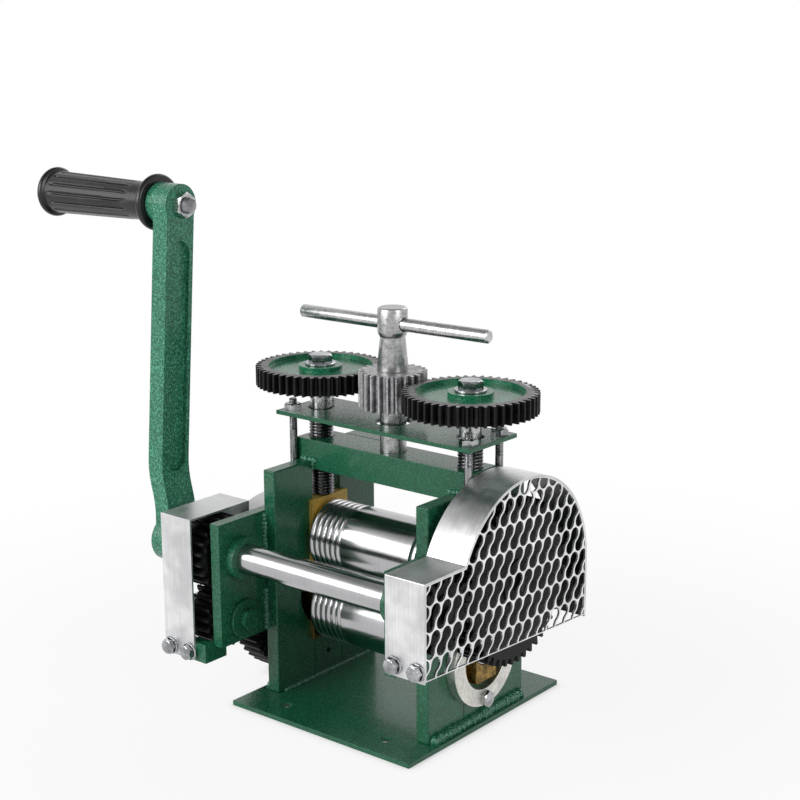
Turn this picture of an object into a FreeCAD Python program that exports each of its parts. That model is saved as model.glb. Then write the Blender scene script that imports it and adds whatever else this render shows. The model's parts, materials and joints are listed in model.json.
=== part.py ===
"""Jewellers rolling mill: two rolls in a welded frame, a crank with a gear train
at each side, and a geared screw-down that sets the gap between the rolls.

Frame of the part, in millimetres: X runs along the rolls, +Y to the rear, +Z up.
The origin is on the underside of the base, in the plane of the roll axes.
The crank, its shaft and the drive gears stand at -Y, the crank itself at -X.
"""

import FreeCAD, Part
import math
import os

# ---------------------------------------------------------------- driving dimensions
# Frame
base_width = 139.0
base_depth = 150.0
base_thickness = 3.0
base_rear_shift = 2.5
base_hole_radius = 3.5
base_hole_spacing_x = 78.0
base_hole_spacing_y = 118.0

roll_space = 109.0
side_thickness = 9.0
side_depth = 94.0
side_top = 146.2
slot_width = 25.0
window_radius = 24.5
window_height = 60.0
locking_hole_radius = 1.8
locking_hole_height = 16.6

crossbar_length = 135.4
crossbar_sink = 5.8
crossbar_height = 18.6
tab_width = 40.0
tab_depth = 12.0
tab_thickness = 4.0
tab_centre_x = -29.5

# Rolls
roll_radius = 22.5
roll_length = 100.0
roll_edge_chamfer = 1.2
rest_gap = 0.2
lower_roll_height = 50.8
journal_radius = 11.0
gear_seat_radius = 10.0
groove_pitch = 4.2
equal_groove_count = 6
equal_groove_depth = 1.4
graded_groove_depths = (1.6, 1.4, 1.2, 1.0, 0.8)

# Bearings of the rolls
block_depth_inner = 33.0
block_flange = 3.0
block_height_below = 19.5
block_height_above = 25.5
ear_depth = 42.0
ear_thickness = 6.2
ear_height = 20.0
stud_socket_floor = 4.0
lower_block_height = 42.0
lower_nose_depth = 19.6
lower_nose_height = 31.0
washer_thickness = 1.0
washer_outer_radius = 16.0
ring_outer_radius = 30.5
ring_inner_radius = 20.0
ring_thickness = 6.8
ring_height = 44.5
ring_bolt_circle = 26.5
ring_bolt_count = 3
ring_bolt_angle = -90.0
ring_bolt_head_height = 3.0

# Drive train
gear_module = 2.0
pressure_angle = 20.0
tooth_backlash = 0.30
addendum_factor = 0.95
dedendum_factor = 1.25
pinion_teeth = 21
roll_gear_teeth = 48
idler_teeth = 19
drive_gear_width = 18.0
drive_gear_inner = 74.0
shaft_height = 97.0
shaft_radius = 9.0
gear_hub_radius = 16.0
gear_hub_gap = 1.0
pinion_hub_radius = 12.0
idler_hub_radius = 10.0

# Shaft brackets
bracket_thickness = 7.0
bracket_front = -86.0
bracket_rear = -38.0
bracket_over_shaft = 23.5
bracket_bottom = 43.0
right_bracket_bottom = 60.0
collar_radius = 13.0
collar_length = 6.5
bush_radius = 11.0
oil_hole_radius = 1.2
lug_depth = 6.5
lug_flange = 2.9
lug_flange_depth = 17.5
left_lug_bottom = 33.5
left_lug_top = 45.5
right_lug_bottom = 67.0
right_lug_top = 77.5
idler_stud_radius = 6.0
idler_washer_radius = 12.0
idler_washer_thickness = 2.5
idler_end_play = 1.0
idler_cap_radius = 9.0
idler_cap_thickness = 2.5

# Guards over the gears
sheet = 1.2
guard_front = -94.3
guard_over_shaft = 26.0
guard_radius = 64.0
guard_step_gap = 0.8
left_guard_inner = 79.0
left_guard_outer = 104.0
left_guard_bottom = 34.5
right_guard_inner = 70.8
right_guard_outer = 98.0
right_guard_bottom = 66.0
right_guard_rear_bottom = 57.0
guard_crank_hole = 13.0
guard_bolt_inset = 5.0
guard_bolt_spacing = 16.0
cell_pitch_y = 9.6
cell_pitch_z = 15.3
cell_width = 7.6
cell_height = 18.1
cell_tip = 4.6
cell_slant = 4.8
cell_margin = 1.6

# Crank
crank_radius = 206.5
crank_lean = 4.5
arm_width = 22.5
arm_thickness = 12.3
arm_outer = 133.0
arm_step = 7.8
arm_step_start = 20.0
arm_step_end = 42.0
arm_bend_radius = 55.0
arm_taper = 0.5
recess_depth = 3.0
recess_inset = 3.2
recess_foot_margin = 0.5
recess_head_margin = 9.5
hub_inner = 107.0
hub_outer = 125.5
hub_radius = 14.5
eye_radius = 12.5
eye_boss = 5.5
grip_gap = 0.5
grip_length = 98.0
grip_bolt_radius = 5.0
grip_end_radius = 13.4
grip_neck_radius = 11.6
grip_inner_flange_radius = 17.3
grip_outer_flange_radius = 15.7
grip_flange_thickness = 5.0
grip_collar_length = 14.0
grip_edge = 1.5
grip_rib_count = 18
grip_rib_height = 0.9
grip_rib_share = 0.62
grip_head_depth = 4.0
grip_head_radius = 8.5
grip_nut_radius = 8.0
grip_nut_height = 6.4
grip_bolt_end = 3.0

# Screw-down
press_screw_radius = 7.6
press_neck_radius = 6.6
press_gear_teeth = 48
press_module = 1.6
press_gear_rise = 27.3
press_gear_width = 12.0
press_web_depth = 3.0
press_rim_thickness = 6.5
press_hub_radius = 13.5
press_gear_play = 0.05
press_bolt_flats = 13.0
press_bolt_height = 5.0
press_washer_radius = 9.5
press_washer_height = 1.5
press_shank_radius = 4.0
spindle_teeth = 24
spindle_pinion_length = 22.5
spindle_pinion_above = 4.2
spindle_lower_radius = 8.0
spindle_neck_radius = 9.3
spindle_top_radius = 7.5
spindle_cap_radius = 9.0
spindle_neck_length = 20.5
spindle_cap_length = 17.5
spindle_socket_depth = 10.0
spindle_edge = 1.2
spindle_cap_taper = 2.5
tommy_above_cap_foot = 7.8
tommy_radius = 4.0
tommy_length = 138.0
tommy_turn = 2.0
tommy_edge = 0.8

# Lifting plate and its studs
lift_plate_width = 148.5
lift_plate_depth = 46.0
lift_plate_rise = 18.0
lift_plate_thickness = 2.5
lift_plate_screw_hole = 8.2
lift_plate_spindle_hole = 11.0
stud_radius = 2.5
stud_x = 67.4
stud_y = 15.0
stud_above = 7.0

# Clearances and fasteners
running_clearance = 0.08
slide_clearance = 0.10
thread_clearance = 0.06
screw_seat_gap = 0.3
bolt_hex_radius = 4.6
bolt_flange_radius = 5.8
bolt_flange_height = 1.0
bolt_head_height = 4.2
bolt_shank_radius = 3.0
nut_radius = 4.9
nut_height = 4.0
washer_height = 1.2
washer_overhang = 3.0
end_bolt_height = 3.2
CUT = 1.0

# ---------------------------------------------------------------- derived places
inner_face = roll_space / 2
outer_face = inner_face + side_thickness
crossbar_bottom = side_top - crossbar_sink
crossbar_top = crossbar_bottom + crossbar_height
upper_roll_height = lower_roll_height + 2 * roll_radius + rest_gap
pinion_radius = gear_module * pinion_teeth / 2
roll_gear_radius = gear_module * roll_gear_teeth / 2
idler_radius = gear_module * idler_teeth / 2
roll_gear_reach = pinion_radius + roll_gear_radius
shaft_y = -math.sqrt(roll_gear_reach ** 2 - (shaft_height - upper_roll_height) ** 2)
drive_gear_outer = drive_gear_inner + drive_gear_width
bracket_outer = outer_face + bracket_thickness
bracket_top = shaft_height + bracket_over_shaft
guard_top = shaft_height + guard_over_shaft
guard_step = shaft_y + pinion_radius + addendum_factor * gear_module + guard_step_gap + sheet
press_x = press_module * (press_gear_teeth + spindle_teeth) / 2 + press_gear_play
lift_plate_top = crossbar_top + lift_plate_rise
lift_plate_bottom = lift_plate_top - lift_plate_thickness
press_gear_top = lift_plate_top + press_gear_rise
press_web_top = press_gear_top - press_web_depth
press_neck_top = press_web_top + CUT
spindle_pinion_top = press_gear_top + spindle_pinion_above
spindle_pinion_bottom = spindle_pinion_top - spindle_pinion_length
spindle_cap_bottom = spindle_pinion_top + spindle_neck_length
spindle_cap_top = spindle_cap_bottom + spindle_cap_length
tommy_height = spindle_cap_bottom + tommy_above_cap_foot
block_top = upper_roll_height + block_height_above
arm_inner = arm_outer - arm_thickness
eye_outer = arm_outer + eye_boss
grip_inner = eye_outer + grip_gap
journal_shoulder = outer_face + ear_thickness + gear_hub_gap
lower_block_bottom = lower_roll_height - lower_block_height / 2
left_lug_middle = (left_lug_bottom + left_lug_top) / 2
right_lug_middle = (right_lug_bottom + right_lug_top) / 2
grip_outer = grip_inner + grip_length
PARTS = "parts"

X_AXIS = FreeCAD.Vector(1, 0, 0)
Y_AXIS = FreeCAD.Vector(0, 1, 0)
Z_AXIS = FreeCAD.Vector(0, 0, 1)


# ---------------------------------------------------------------- basic shapes
def point(x, y, z):
    return FreeCAD.Vector(x, y, z)


def box(x0, x1, y0, y1, z0, z1):
    """Box between two corners given in any order."""
    low = point(min(x0, x1), min(y0, y1), min(z0, z1))
    return Part.makeBox(abs(x1 - x0), abs(y1 - y0), abs(z1 - z0), low)


def cylinder_x(x0, x1, y, z, radius):
    start = min(x0, x1)
    return Part.makeCylinder(radius, abs(x1 - x0), point(start, y, z), X_AXIS)


def cylinder_y(y0, y1, x, z, radius):
    start = min(y0, y1)
    return Part.makeCylinder(radius, abs(y1 - y0), point(x, start, z), Y_AXIS)


def cylinder_z(z0, z1, x, y, radius):
    start = min(z0, z1)
    return Part.makeCylinder(radius, abs(z1 - z0), point(x, y, start), Z_AXIS)


def prism(corners, direction):
    """Solid from a closed outline of points, pushed along a vector."""
    outline = Part.makePolygon(corners + [corners[0]])
    return Part.Face(outline).extrude(direction)


def hexagon(centre, axis, flats_radius, height):
    """Hexagonal head or nut with its base at centre, standing along axis."""
    corner_radius = flats_radius / math.cos(math.radians(30))
    corners = []
    for step in range(6):
        angle = math.radians(60 * step + 30)
        corners.append(point(corner_radius * math.cos(angle), corner_radius * math.sin(angle), 0))
    solid = prism(corners, point(0, 0, height))
    turn = FreeCAD.Rotation(Z_AXIS, axis)
    solid.Placement = FreeCAD.Placement(centre, turn)
    return solid


def fuse_all(shapes):
    joined = shapes[0]
    if len(shapes) > 1:
        joined = shapes[0].multiFuse(shapes[1:])
    return joined.removeSplitter()


def mirrored(shape):
    return shape.mirror(point(0, 0, 0), X_AXIS)


def leaning(shape):
    """Turns a shape drawn with the crank upright to the crank's place at rest."""
    turned = shape.copy()
    turned.rotate(point(0, shaft_y, shaft_height), X_AXIS, -crank_lean)
    return turned


def save(name, shape):
    shape.exportStep(os.path.join(PARTS, name + ".step"))


# ---------------------------------------------------------------- gears
def involute(angle):
    return math.tan(angle) - angle


def tooth_half_angle(radius, module, teeth):
    """Half the angle that a tooth spans at a radius, with its share of the backlash."""
    pitch_radius = module * teeth / 2
    base_radius = pitch_radius * math.cos(math.radians(pressure_angle))
    at_pitch = math.pi / (2 * teeth) - tooth_backlash / (4 * pitch_radius)
    slope = math.acos(min(1.0, base_radius / radius))
    return at_pitch + involute(math.radians(pressure_angle)) - involute(slope)


def flank_radii(module, teeth):
    """Radii at which a flank has its points: three on a small gear, two on a large one."""
    pitch_radius = module * teeth / 2
    base_radius = pitch_radius * math.cos(math.radians(pressure_angle))
    root = pitch_radius - dedendum_factor * module
    tip = pitch_radius + addendum_factor * module
    if root < base_radius:
        return [root, pitch_radius, tip]
    return [root, tip]


def gear_outline(module, teeth, phase):
    """Corners of a spur gear in its own plane, as pairs; phase turns tooth number 0."""
    corners = []
    for tooth in range(teeth):
        middle = phase + 2 * math.pi * tooth / teeth
        half_flank = []
        for radius in flank_radii(module, teeth):
            half_flank.append((radius, tooth_half_angle(radius, module, teeth)))
        for radius, half in half_flank:
            corners.append((radius * math.cos(middle - half), radius * math.sin(middle - half)))
        for radius, half in reversed(half_flank):
            corners.append((radius * math.cos(middle + half), radius * math.sin(middle + half)))
    return corners


def gear_x(module, teeth, phase, x0, x1, y, z):
    """Spur gear on an axis along X, with angles counted from +Y towards +Z."""
    start = min(x0, x1)
    corners = [point(start, y + a, z + b) for a, b in gear_outline(module, teeth, phase)]
    return prism(corners, point(abs(x1 - x0), 0, 0))


def gear_z(module, teeth, phase, z0, z1, x, y):
    """Spur gear on an axis along Z, with angles counted from +X towards +Y."""
    corners = [point(x + a, y + b, z0) for a, b in gear_outline(module, teeth, phase)]
    return prism(corners, point(0, 0, z1 - z0))


def meshed_phase(phase, teeth, direction, other_teeth):
    """Phase of a gear whose gap takes the tooth of a gear that lies opposite to direction."""
    share = teeth / other_teeth
    return direction + math.pi - share * (phase - direction) - math.pi / other_teeth


def idler_centre():
    """Where the idler meets both the pinion and the lower roll's gear, in front and below."""
    from_shaft = pinion_radius + idler_radius
    from_roll = roll_gear_radius + idler_radius
    run_y = 0 - shaft_y
    run_z = lower_roll_height - shaft_height
    apart = math.hypot(run_y, run_z)
    along = (from_shaft ** 2 - from_roll ** 2 + apart ** 2) / (2 * apart)
    aside = math.sqrt(from_shaft ** 2 - along ** 2)
    unit_y = run_y / apart
    unit_z = run_z / apart
    return shaft_y + along * unit_y + aside * unit_z, shaft_height + along * unit_z - aside * unit_y


idler_y, idler_z = idler_centre()
to_idler = math.atan2(idler_z - shaft_height, idler_y - shaft_y)
idler_to_roll = math.atan2(lower_roll_height - idler_z, -idler_y)
to_upper_roll = math.atan2(upper_roll_height - shaft_height, -shaft_y)
idler_phase = meshed_phase(to_idler, pinion_teeth, to_idler, idler_teeth)
lower_gear_phase = meshed_phase(idler_phase, idler_teeth, idler_to_roll, roll_gear_teeth)
upper_gear_phase = meshed_phase(to_upper_roll, pinion_teeth, to_upper_roll, roll_gear_teeth)


# ---------------------------------------------------------------- welded frame
def base_plate():
    middle = base_rear_shift
    plate = box(-base_width / 2, base_width / 2, middle - base_depth / 2, middle + base_depth / 2,
                0, base_thickness)
    for side_x in (-1, 1):
        for side_y in (-1, 1):
            x = side_x * base_hole_spacing_x / 2
            y = middle + side_y * base_hole_spacing_y / 2
            plate = plate.cut(cylinder_z(-CUT, base_thickness + CUT, x, y, base_hole_radius))
    return plate


def window_round():
    """Round window of both side walls, through which the roll ends go in."""
    return cylinder_x(-outer_face - CUT, outer_face + CUT, 0, window_height, window_radius)


def upright(side_x, side_y):
    """One of the four posts; the window takes a bite out of its inner edge."""
    post = box(side_x * inner_face, side_x * outer_face, side_y * slot_width / 2,
               side_y * side_depth / 2, base_thickness, side_top)
    return post.cut(window_round())


def saddle(side_x):
    """Piece between two posts that carries the lower bearing, with a hole for its locking screw."""
    block = box(side_x * inner_face, side_x * outer_face, -slot_width / 2, slot_width / 2,
                base_thickness, lower_block_bottom)
    hole = cylinder_x(side_x * (inner_face - CUT), side_x * (outer_face + CUT), 0,
                      locking_hole_height, locking_hole_radius)
    return block.cut(hole)


def crossbar():
    """Bar between the posts, with the bores of the screws and a blind bore for the spindle."""
    bar = box(-crossbar_length / 2, crossbar_length / 2, -slot_width / 2, slot_width / 2,
              crossbar_bottom, crossbar_top)
    for side_x in (-1, 1):
        bore = cylinder_z(crossbar_bottom - CUT, crossbar_top + CUT, side_x * press_x, 0,
                          press_screw_radius + thread_clearance)
        bar = bar.cut(bore)
    socket = cylinder_z(crossbar_top - spindle_socket_depth, crossbar_top + CUT, 0, 0,
                        spindle_lower_radius + running_clearance)
    return bar.cut(socket)


def crossbar_tab():
    """Flat lug welded to the rear of the crossbar, level with its top."""
    return box(tab_centre_x - tab_width / 2, tab_centre_x + tab_width / 2, slot_width / 2,
               slot_width / 2 + tab_depth, crossbar_top - tab_thickness, crossbar_top)


# ---------------------------------------------------------------- shaft brackets
def bracket(side_x, bottom):
    """Plate on the outside of a front post that carries the crank shaft."""
    plate = box(side_x * outer_face, side_x * bracket_outer, bracket_front, bracket_rear,
                bottom, bracket_top)
    collar = cylinder_x(side_x * (outer_face - collar_length), side_x * outer_face,
                        shaft_y, shaft_height, collar_radius)
    body = fuse_all([plate, collar])
    bore = cylinder_x(side_x * (outer_face - collar_length - CUT), side_x * (bracket_outer + CUT),
                      shaft_y, shaft_height, bush_radius)
    oil_hole = cylinder_z(shaft_height, shaft_height + collar_radius + CUT,
                          side_x * (outer_face - collar_length / 2), shaft_y, oil_hole_radius)
    return body.cut(bore).cut(oil_hole)


def guard_lug(side_x, outer, bottom, top):
    """Angle on the bracket's outer face: a bar for the guard's bolts and the flange that holds it."""
    front = guard_front + sheet
    bar = box(side_x * bracket_outer, side_x * (outer - sheet), front, front + lug_depth, bottom, top)
    flange = box(side_x * bracket_outer, side_x * (bracket_outer + lug_flange), front,
                 front + lug_flange_depth, bottom, top)
    lug = fuse_all([bar, flange])
    for x in lug_bolt_places(outer):
        lug = lug.cut(cylinder_y(guard_front, front + lug_depth - CUT, side_x * x, (bottom + top) / 2,
                                 bolt_shank_radius))
    return lug


def lug_bolt_places(outer):
    """Distances from the middle of the mill to the two bolts of a guard."""
    return outer - guard_bolt_inset, outer - guard_bolt_inset - guard_bolt_spacing


def left_bracket():
    plate = bracket(-1, bracket_bottom)
    lug = guard_lug(-1, left_guard_outer, left_lug_bottom, left_lug_top)
    stud_hole = cylinder_x(CUT - outer_face, -CUT - bracket_outer, idler_y, idler_z,
                           idler_stud_radius)
    return fuse_all([plate, lug]).cut(stud_hole)


def right_bracket():
    plate = bracket(1, right_bracket_bottom)
    lug = guard_lug(1, right_guard_outer, right_lug_bottom, right_lug_top)
    return fuse_all([plate, lug])


def shaft_bush(side_x):
    outside = cylinder_x(side_x * (outer_face - collar_length), side_x * bracket_outer,
                         shaft_y, shaft_height, bush_radius)
    bore = cylinder_x(side_x * (outer_face - collar_length - CUT), side_x * (bracket_outer + CUT),
                      shaft_y, shaft_height, shaft_radius + running_clearance)
    oil_hole = cylinder_z(shaft_height, shaft_height + bush_radius + CUT,
                          side_x * (outer_face - collar_length / 2), shaft_y, oil_hole_radius)
    return outside.cut(bore).cut(oil_hole)


def idler_stud():
    """Stud of the idler gear: hex head and washer inside, plain pin and retaining cap outside."""
    head_base = outer_face - idler_washer_thickness
    pin_end = drive_gear_outer + idler_end_play
    pieces = [
        hexagon(point(-head_base, idler_y, idler_z), X_AXIS, bolt_flange_radius, bolt_head_height),
        cylinder_x(-head_base, -pin_end, idler_y, idler_z, idler_stud_radius),
        cylinder_x(-pin_end, -pin_end - idler_cap_thickness, idler_y, idler_z, idler_cap_radius),
    ]
    return fuse_all(pieces)


def idler_washer():
    """Large washer between the idler stud's head and the bracket."""
    inner = idler_washer_thickness - outer_face
    disc = cylinder_x(-outer_face, inner, idler_y, idler_z, idler_washer_radius)
    return disc.cut(cylinder_x(-outer_face - CUT, inner + CUT, idler_y, idler_z, idler_stud_radius))


# ---------------------------------------------------------------- guards
def crown_start(arc_height, inset):
    """Where a guard's flat top ends, and the height at which its round crown starts there."""
    radius = guard_radius - inset
    rise = guard_top - inset - arc_height
    meet_y = -math.sqrt(max(0.0, radius ** 2 - rise ** 2))
    if meet_y < guard_step - inset:
        return meet_y, guard_top - inset
    meet_y = guard_step - inset
    return meet_y, arc_height + math.sqrt(radius ** 2 - meet_y ** 2)


def guard_profile(bottom_front, bottom_rear, arc_height, inset):
    """Closed outline of a gear guard seen along X, drawn inset from its outside.

    A crown that is lower than the flat top is met by a step down behind the pinion.
    """
    radius = guard_radius - inset
    top = guard_top - inset
    front = guard_front + inset
    meet_y, meet_z = crown_start(arc_height, inset)
    middle_angle = math.atan2(meet_z - arc_height, meet_y) / 2
    crown = point(0, radius * math.cos(middle_angle), arc_height + radius * math.sin(middle_angle))
    arc = Part.Arc(point(0, meet_y, meet_z), crown, point(0, radius, arc_height))
    corners = [point(0, radius, arc_height), point(0, radius, bottom_rear), point(0, front, bottom_front),
               point(0, front, top), point(0, meet_y, top)]
    if meet_z < top:
        corners.append(point(0, meet_y, meet_z))
    edges = [Part.makeLine(start, end) for start, end in zip(corners, corners[1:])]
    edges.append(arc.toShape())
    return Part.Wire(Part.__sortEdges__(edges))


def guard_band(side_x, inner, outer, bottom_front, bottom_rear, arc_height):
    """Bent strip of the guard: front, flat top, round crown and rear, open below."""
    depth = outer - inner
    outside = Part.Face(guard_profile(bottom_front, bottom_rear, arc_height, 0))
    inside = Part.Face(guard_profile(bottom_front, bottom_rear, arc_height, sheet))
    band = outside.extrude(point(depth, 0, 0)).cut(inside.extrude(point(depth, 0, 0)))
    below = Part.Face(Part.makePolygon([
        point(0, guard_front + sheet, bottom_front - CUT),
        point(0, guard_front + sheet, bottom_front + 2 * sheet),
        point(0, guard_radius - sheet, bottom_rear + 2 * sheet),
        point(0, guard_radius - sheet, bottom_rear - CUT),
        point(0, guard_front + sheet, bottom_front - CUT),
    ])).extrude(point(depth, 0, 0))
    band = band.cut(below)
    band.translate(point(inner, 0, 0))
    lug_z = right_lug_middle
    if side_x < 0:
        lug_z = left_lug_middle
        band = mirrored(band)
    for x in lug_bolt_places(outer):
        band = band.cut(cylinder_y(guard_front - CUT, guard_front + sheet + CUT, side_x * x, lug_z,
                                   bolt_shank_radius))
    return band


def cell(y, z):
    """Slanting slot of the perforated sheet, as corners in the plane X = 0."""
    half_width = cell_width / 2
    half_height = cell_height / 2
    shoulder = half_height - cell_tip
    lean = cell_slant / 2
    return [
        point(0, y - lean, z - half_height),
        point(0, y - lean + half_width, z - shoulder),
        point(0, y + lean + half_width, z + shoulder),
        point(0, y + lean, z + half_height),
        point(0, y + lean - half_width, z + shoulder),
        point(0, y - lean - half_width, z - shoulder),
    ]


def inside_guard(y, z, bottom_front, bottom_rear, arc_height):
    """Whether a point lies within the guard's face, a margin away from its outline."""
    edge = sheet + cell_margin
    share = (y - guard_front) / (guard_radius - guard_front)
    floor = bottom_front + share * (bottom_rear - bottom_front)
    if z < floor + edge:
        return False
    if y < guard_front + edge or y > guard_radius - edge:
        return False
    if z > arc_height and math.hypot(y, z - arc_height) < guard_radius - edge:
        return True
    if z <= arc_height:
        return True
    return y < guard_step - edge and z < guard_top - edge


def guard_cells(bottom_front, bottom_rear, arc_height, keep_clear):
    """Cells of the pattern that fit whole into the guard's face."""
    fitting = []
    z = min(bottom_front, bottom_rear)
    while z < max(guard_top, arc_height + guard_radius):
        y = guard_front
        while y < guard_radius:
            corners = cell(y, z)
            fits = all(inside_guard(c.y, c.z, bottom_front, bottom_rear, arc_height) for c in corners)
            clear = min(math.hypot(c.y - shaft_y, c.z - shaft_height) for c in corners) > keep_clear
            if fits and clear:
                fitting.append(corners)
            y += cell_pitch_y
        z += cell_pitch_z
    return fitting


def guard_face(side_x, outer, bottom_front, bottom_rear, arc_height, shaft_hole):
    """Perforated outer face of a guard, seated inside the edge of its bent strip."""
    face = Part.Face(guard_profile(bottom_front, bottom_rear, arc_height, sheet))
    keep_clear = shaft_hole + cell_margin if shaft_hole else 0
    cutters = []
    for corners in guard_cells(bottom_front, bottom_rear, arc_height, keep_clear):
        cutters.append(Part.Face(Part.makePolygon(corners + [corners[0]])))
    if shaft_hole:
        rim = Part.makeCircle(shaft_hole, point(0, shaft_y, shaft_height), X_AXIS)
        cutters.append(Part.Face(Part.Wire(rim)))
    sheet_face = face.cut(Part.makeCompound(cutters))
    plate = sheet_face.extrude(point(sheet, 0, 0))
    plate.translate(point(outer - sheet, 0, 0))
    if side_x < 0:
        plate = mirrored(plate)
    return plate.Solids[0]


def guard_bolts():
    """Flanged hex bolts through the fronts of both guards into their lugs."""
    bolts = []
    places = [(-x, left_lug_middle) for x in lug_bolt_places(left_guard_outer)]
    places += [(x, right_lug_middle) for x in lug_bolt_places(right_guard_outer)]
    flange_face = guard_front - bolt_flange_height
    shank_end = guard_front + sheet + lug_depth - 2 * CUT
    for x, z in places:
        flange = cylinder_y(flange_face, guard_front, x, z, bolt_flange_radius)
        head = hexagon(point(x, flange_face, z), -Y_AXIS, bolt_hex_radius, bolt_head_height)
        shank = cylinder_y(guard_front, shank_end, x, z, bolt_shank_radius)
        bolts.append(fuse_all([flange, head, shank]))
    return Part.makeCompound(bolts)


# ---------------------------------------------------------------- roll bearings
def lower_block(side_x):
    """Brass block of a lower journal: waist in the slot, inner flange, nose inside the ring."""
    top = lower_roll_height + lower_block_height / 2
    half = slot_width / 2
    waist = box(side_x * inner_face, side_x * outer_face, -half, half, lower_block_bottom, top)
    flange = box(side_x * (inner_face - block_flange), side_x * inner_face,
                 -block_depth_inner / 2, block_depth_inner / 2, lower_block_bottom, top)
    nose = box(side_x * outer_face, side_x * (outer_face + ring_thickness), -lower_nose_depth / 2,
               lower_nose_depth / 2, lower_block_bottom, lower_block_bottom + lower_nose_height)
    bore = cylinder_x(side_x * (inner_face - block_flange - CUT),
                      side_x * (outer_face + ring_thickness + CUT), 0, lower_roll_height,
                      journal_radius + running_clearance)
    return fuse_all([waist, flange, nose]).cut(bore)


def upper_block(side_x):
    """Brass block that slides between the posts, with an inner flange and an ear for the studs."""
    bottom = upper_roll_height - block_height_below
    half = slot_width / 2 - slide_clearance
    outer_start = outer_face + slide_clearance
    ear_face = outer_face + ear_thickness
    waist = box(side_x * (inner_face - block_flange), side_x * ear_face, -half, half, bottom, block_top)
    flange = box(side_x * (inner_face - block_flange), side_x * (inner_face - slide_clearance),
                 -block_depth_inner / 2, block_depth_inner / 2, bottom, block_top)
    ear = box(side_x * outer_start, side_x * ear_face, -ear_depth / 2, ear_depth / 2,
              block_top - ear_height, block_top)
    body = fuse_all([waist, flange, ear])
    body = body.cut(cylinder_x(side_x * (inner_face - block_flange - CUT), side_x * (ear_face + CUT), 0,
                               upper_roll_height, journal_radius + running_clearance))
    for side_y in (-1, 1):
        body = body.cut(cylinder_z(block_top - ear_height + stud_socket_floor, block_top + CUT,
                                   side_x * stud_x, side_y * stud_y, stud_radius))
    return body


def thrust_washers(height):
    """Two bronze rings between the roll's ends and the flanges of its blocks."""
    rings = []
    room = inner_face - block_flange - roll_length / 2
    start = roll_length / 2 + (room - washer_thickness) / 2
    end = start + washer_thickness
    for side_x in (-1, 1):
        ring = cylinder_x(side_x * start, side_x * end, 0, height, washer_outer_radius)
        bore = cylinder_x(side_x * (start - CUT), side_x * (end + CUT), 0, height,
                          journal_radius + running_clearance)
        rings.append(ring.cut(bore))
    return Part.makeCompound(rings)


def ring_bolt_places():
    """Places of a retainer ring's bolts, as pairs in the plane of the wall."""
    places = []
    for number in range(ring_bolt_count):
        angle = math.radians(ring_bolt_angle + 360 * number / ring_bolt_count)
        places.append((ring_bolt_circle * math.cos(angle), ring_height + ring_bolt_circle * math.sin(angle)))
    return places


def retainer_ring(side_x):
    """Thick ring on the outside of a wall that keeps the lower bearing in its window."""
    near = side_x * (outer_face - CUT)
    far = side_x * (outer_face + ring_thickness + CUT)
    ring = cylinder_x(side_x * outer_face, side_x * (outer_face + ring_thickness), 0, ring_height,
                      ring_outer_radius)
    ring = ring.cut(cylinder_x(near, far, 0, ring_height, ring_inner_radius))
    for y, z in ring_bolt_places():
        ring = ring.cut(cylinder_x(near, far, y, z, bolt_shank_radius))
    return ring


def ring_bolts():
    """Low hex bolts of both retainer rings, seated on them, with shanks in the rings' bores."""
    bolts = []
    face = outer_face + ring_thickness
    for side_x in (-1, 1):
        for y, z in ring_bolt_places():
            head = hexagon(point(side_x * face, y, z), side_x * X_AXIS, bolt_hex_radius,
                           ring_bolt_head_height)
            shank = cylinder_x(side_x * outer_face, side_x * face, y, z, bolt_shank_radius)
            bolts.append(fuse_all([head, shank]))
    return Part.makeCompound(bolts)


# ---------------------------------------------------------------- rolls
def groove_corners(first, depths):
    """Corners of V grooves that lie side by side, as pairs of place and radius."""
    corners = [(first, roll_radius)]
    for number, depth in enumerate(depths):
        start = first + number * groove_pitch
        corners += [(start + groove_pitch / 2, roll_radius - depth), (start + groove_pitch, roll_radius)]
    return corners


def journal_corners(end):
    """Steps of a journal from the bearing outwards, as pairs of distance and radius."""
    if end <= journal_shoulder:
        return [(end, journal_radius), (end, 0)]
    return [(journal_shoulder, journal_radius), (journal_shoulder, gear_seat_radius),
            (end, gear_seat_radius), (end, 0)]


def roll(height, left_end, right_end):
    """Roll with equal wire grooves at its left, growing ones at its right, and its journals."""
    half = roll_length / 2
    edge = roll_edge_chamfer
    graded_start = half - edge - groove_pitch * len(graded_groove_depths)
    outline = [(-x, radius) for x, radius in reversed(journal_corners(left_end))]
    outline += [(-half, journal_radius), (-half, roll_radius - edge)]
    outline += groove_corners(edge - half, [equal_groove_depth] * equal_groove_count)
    outline += groove_corners(graded_start, graded_groove_depths)
    outline += [(half, roll_radius - edge), (half, journal_radius)]
    outline += journal_corners(right_end)
    corners = [point(x, 0, height + radius) for x, radius in outline]
    profile = Part.Face(Part.makePolygon(corners + [corners[0]]))
    return profile.revolve(point(0, 0, height), X_AXIS, 360)


def roll_gear(side_x, height, phase, bore_clearance):
    """Large gear on a roll's end, with a hub that reaches to the shoulder of the journal."""
    wheel = gear_x(gear_module, roll_gear_teeth, phase, side_x * drive_gear_inner,
                   side_x * drive_gear_outer, 0, height)
    hub = cylinder_x(side_x * journal_shoulder, side_x * drive_gear_inner, 0, height, gear_hub_radius)
    bore = cylinder_x(side_x * (journal_shoulder - CUT), side_x * (drive_gear_outer + CUT), 0, height,
                      gear_seat_radius + bore_clearance)
    return fuse_all([wheel, hub]).cut(bore)


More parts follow.
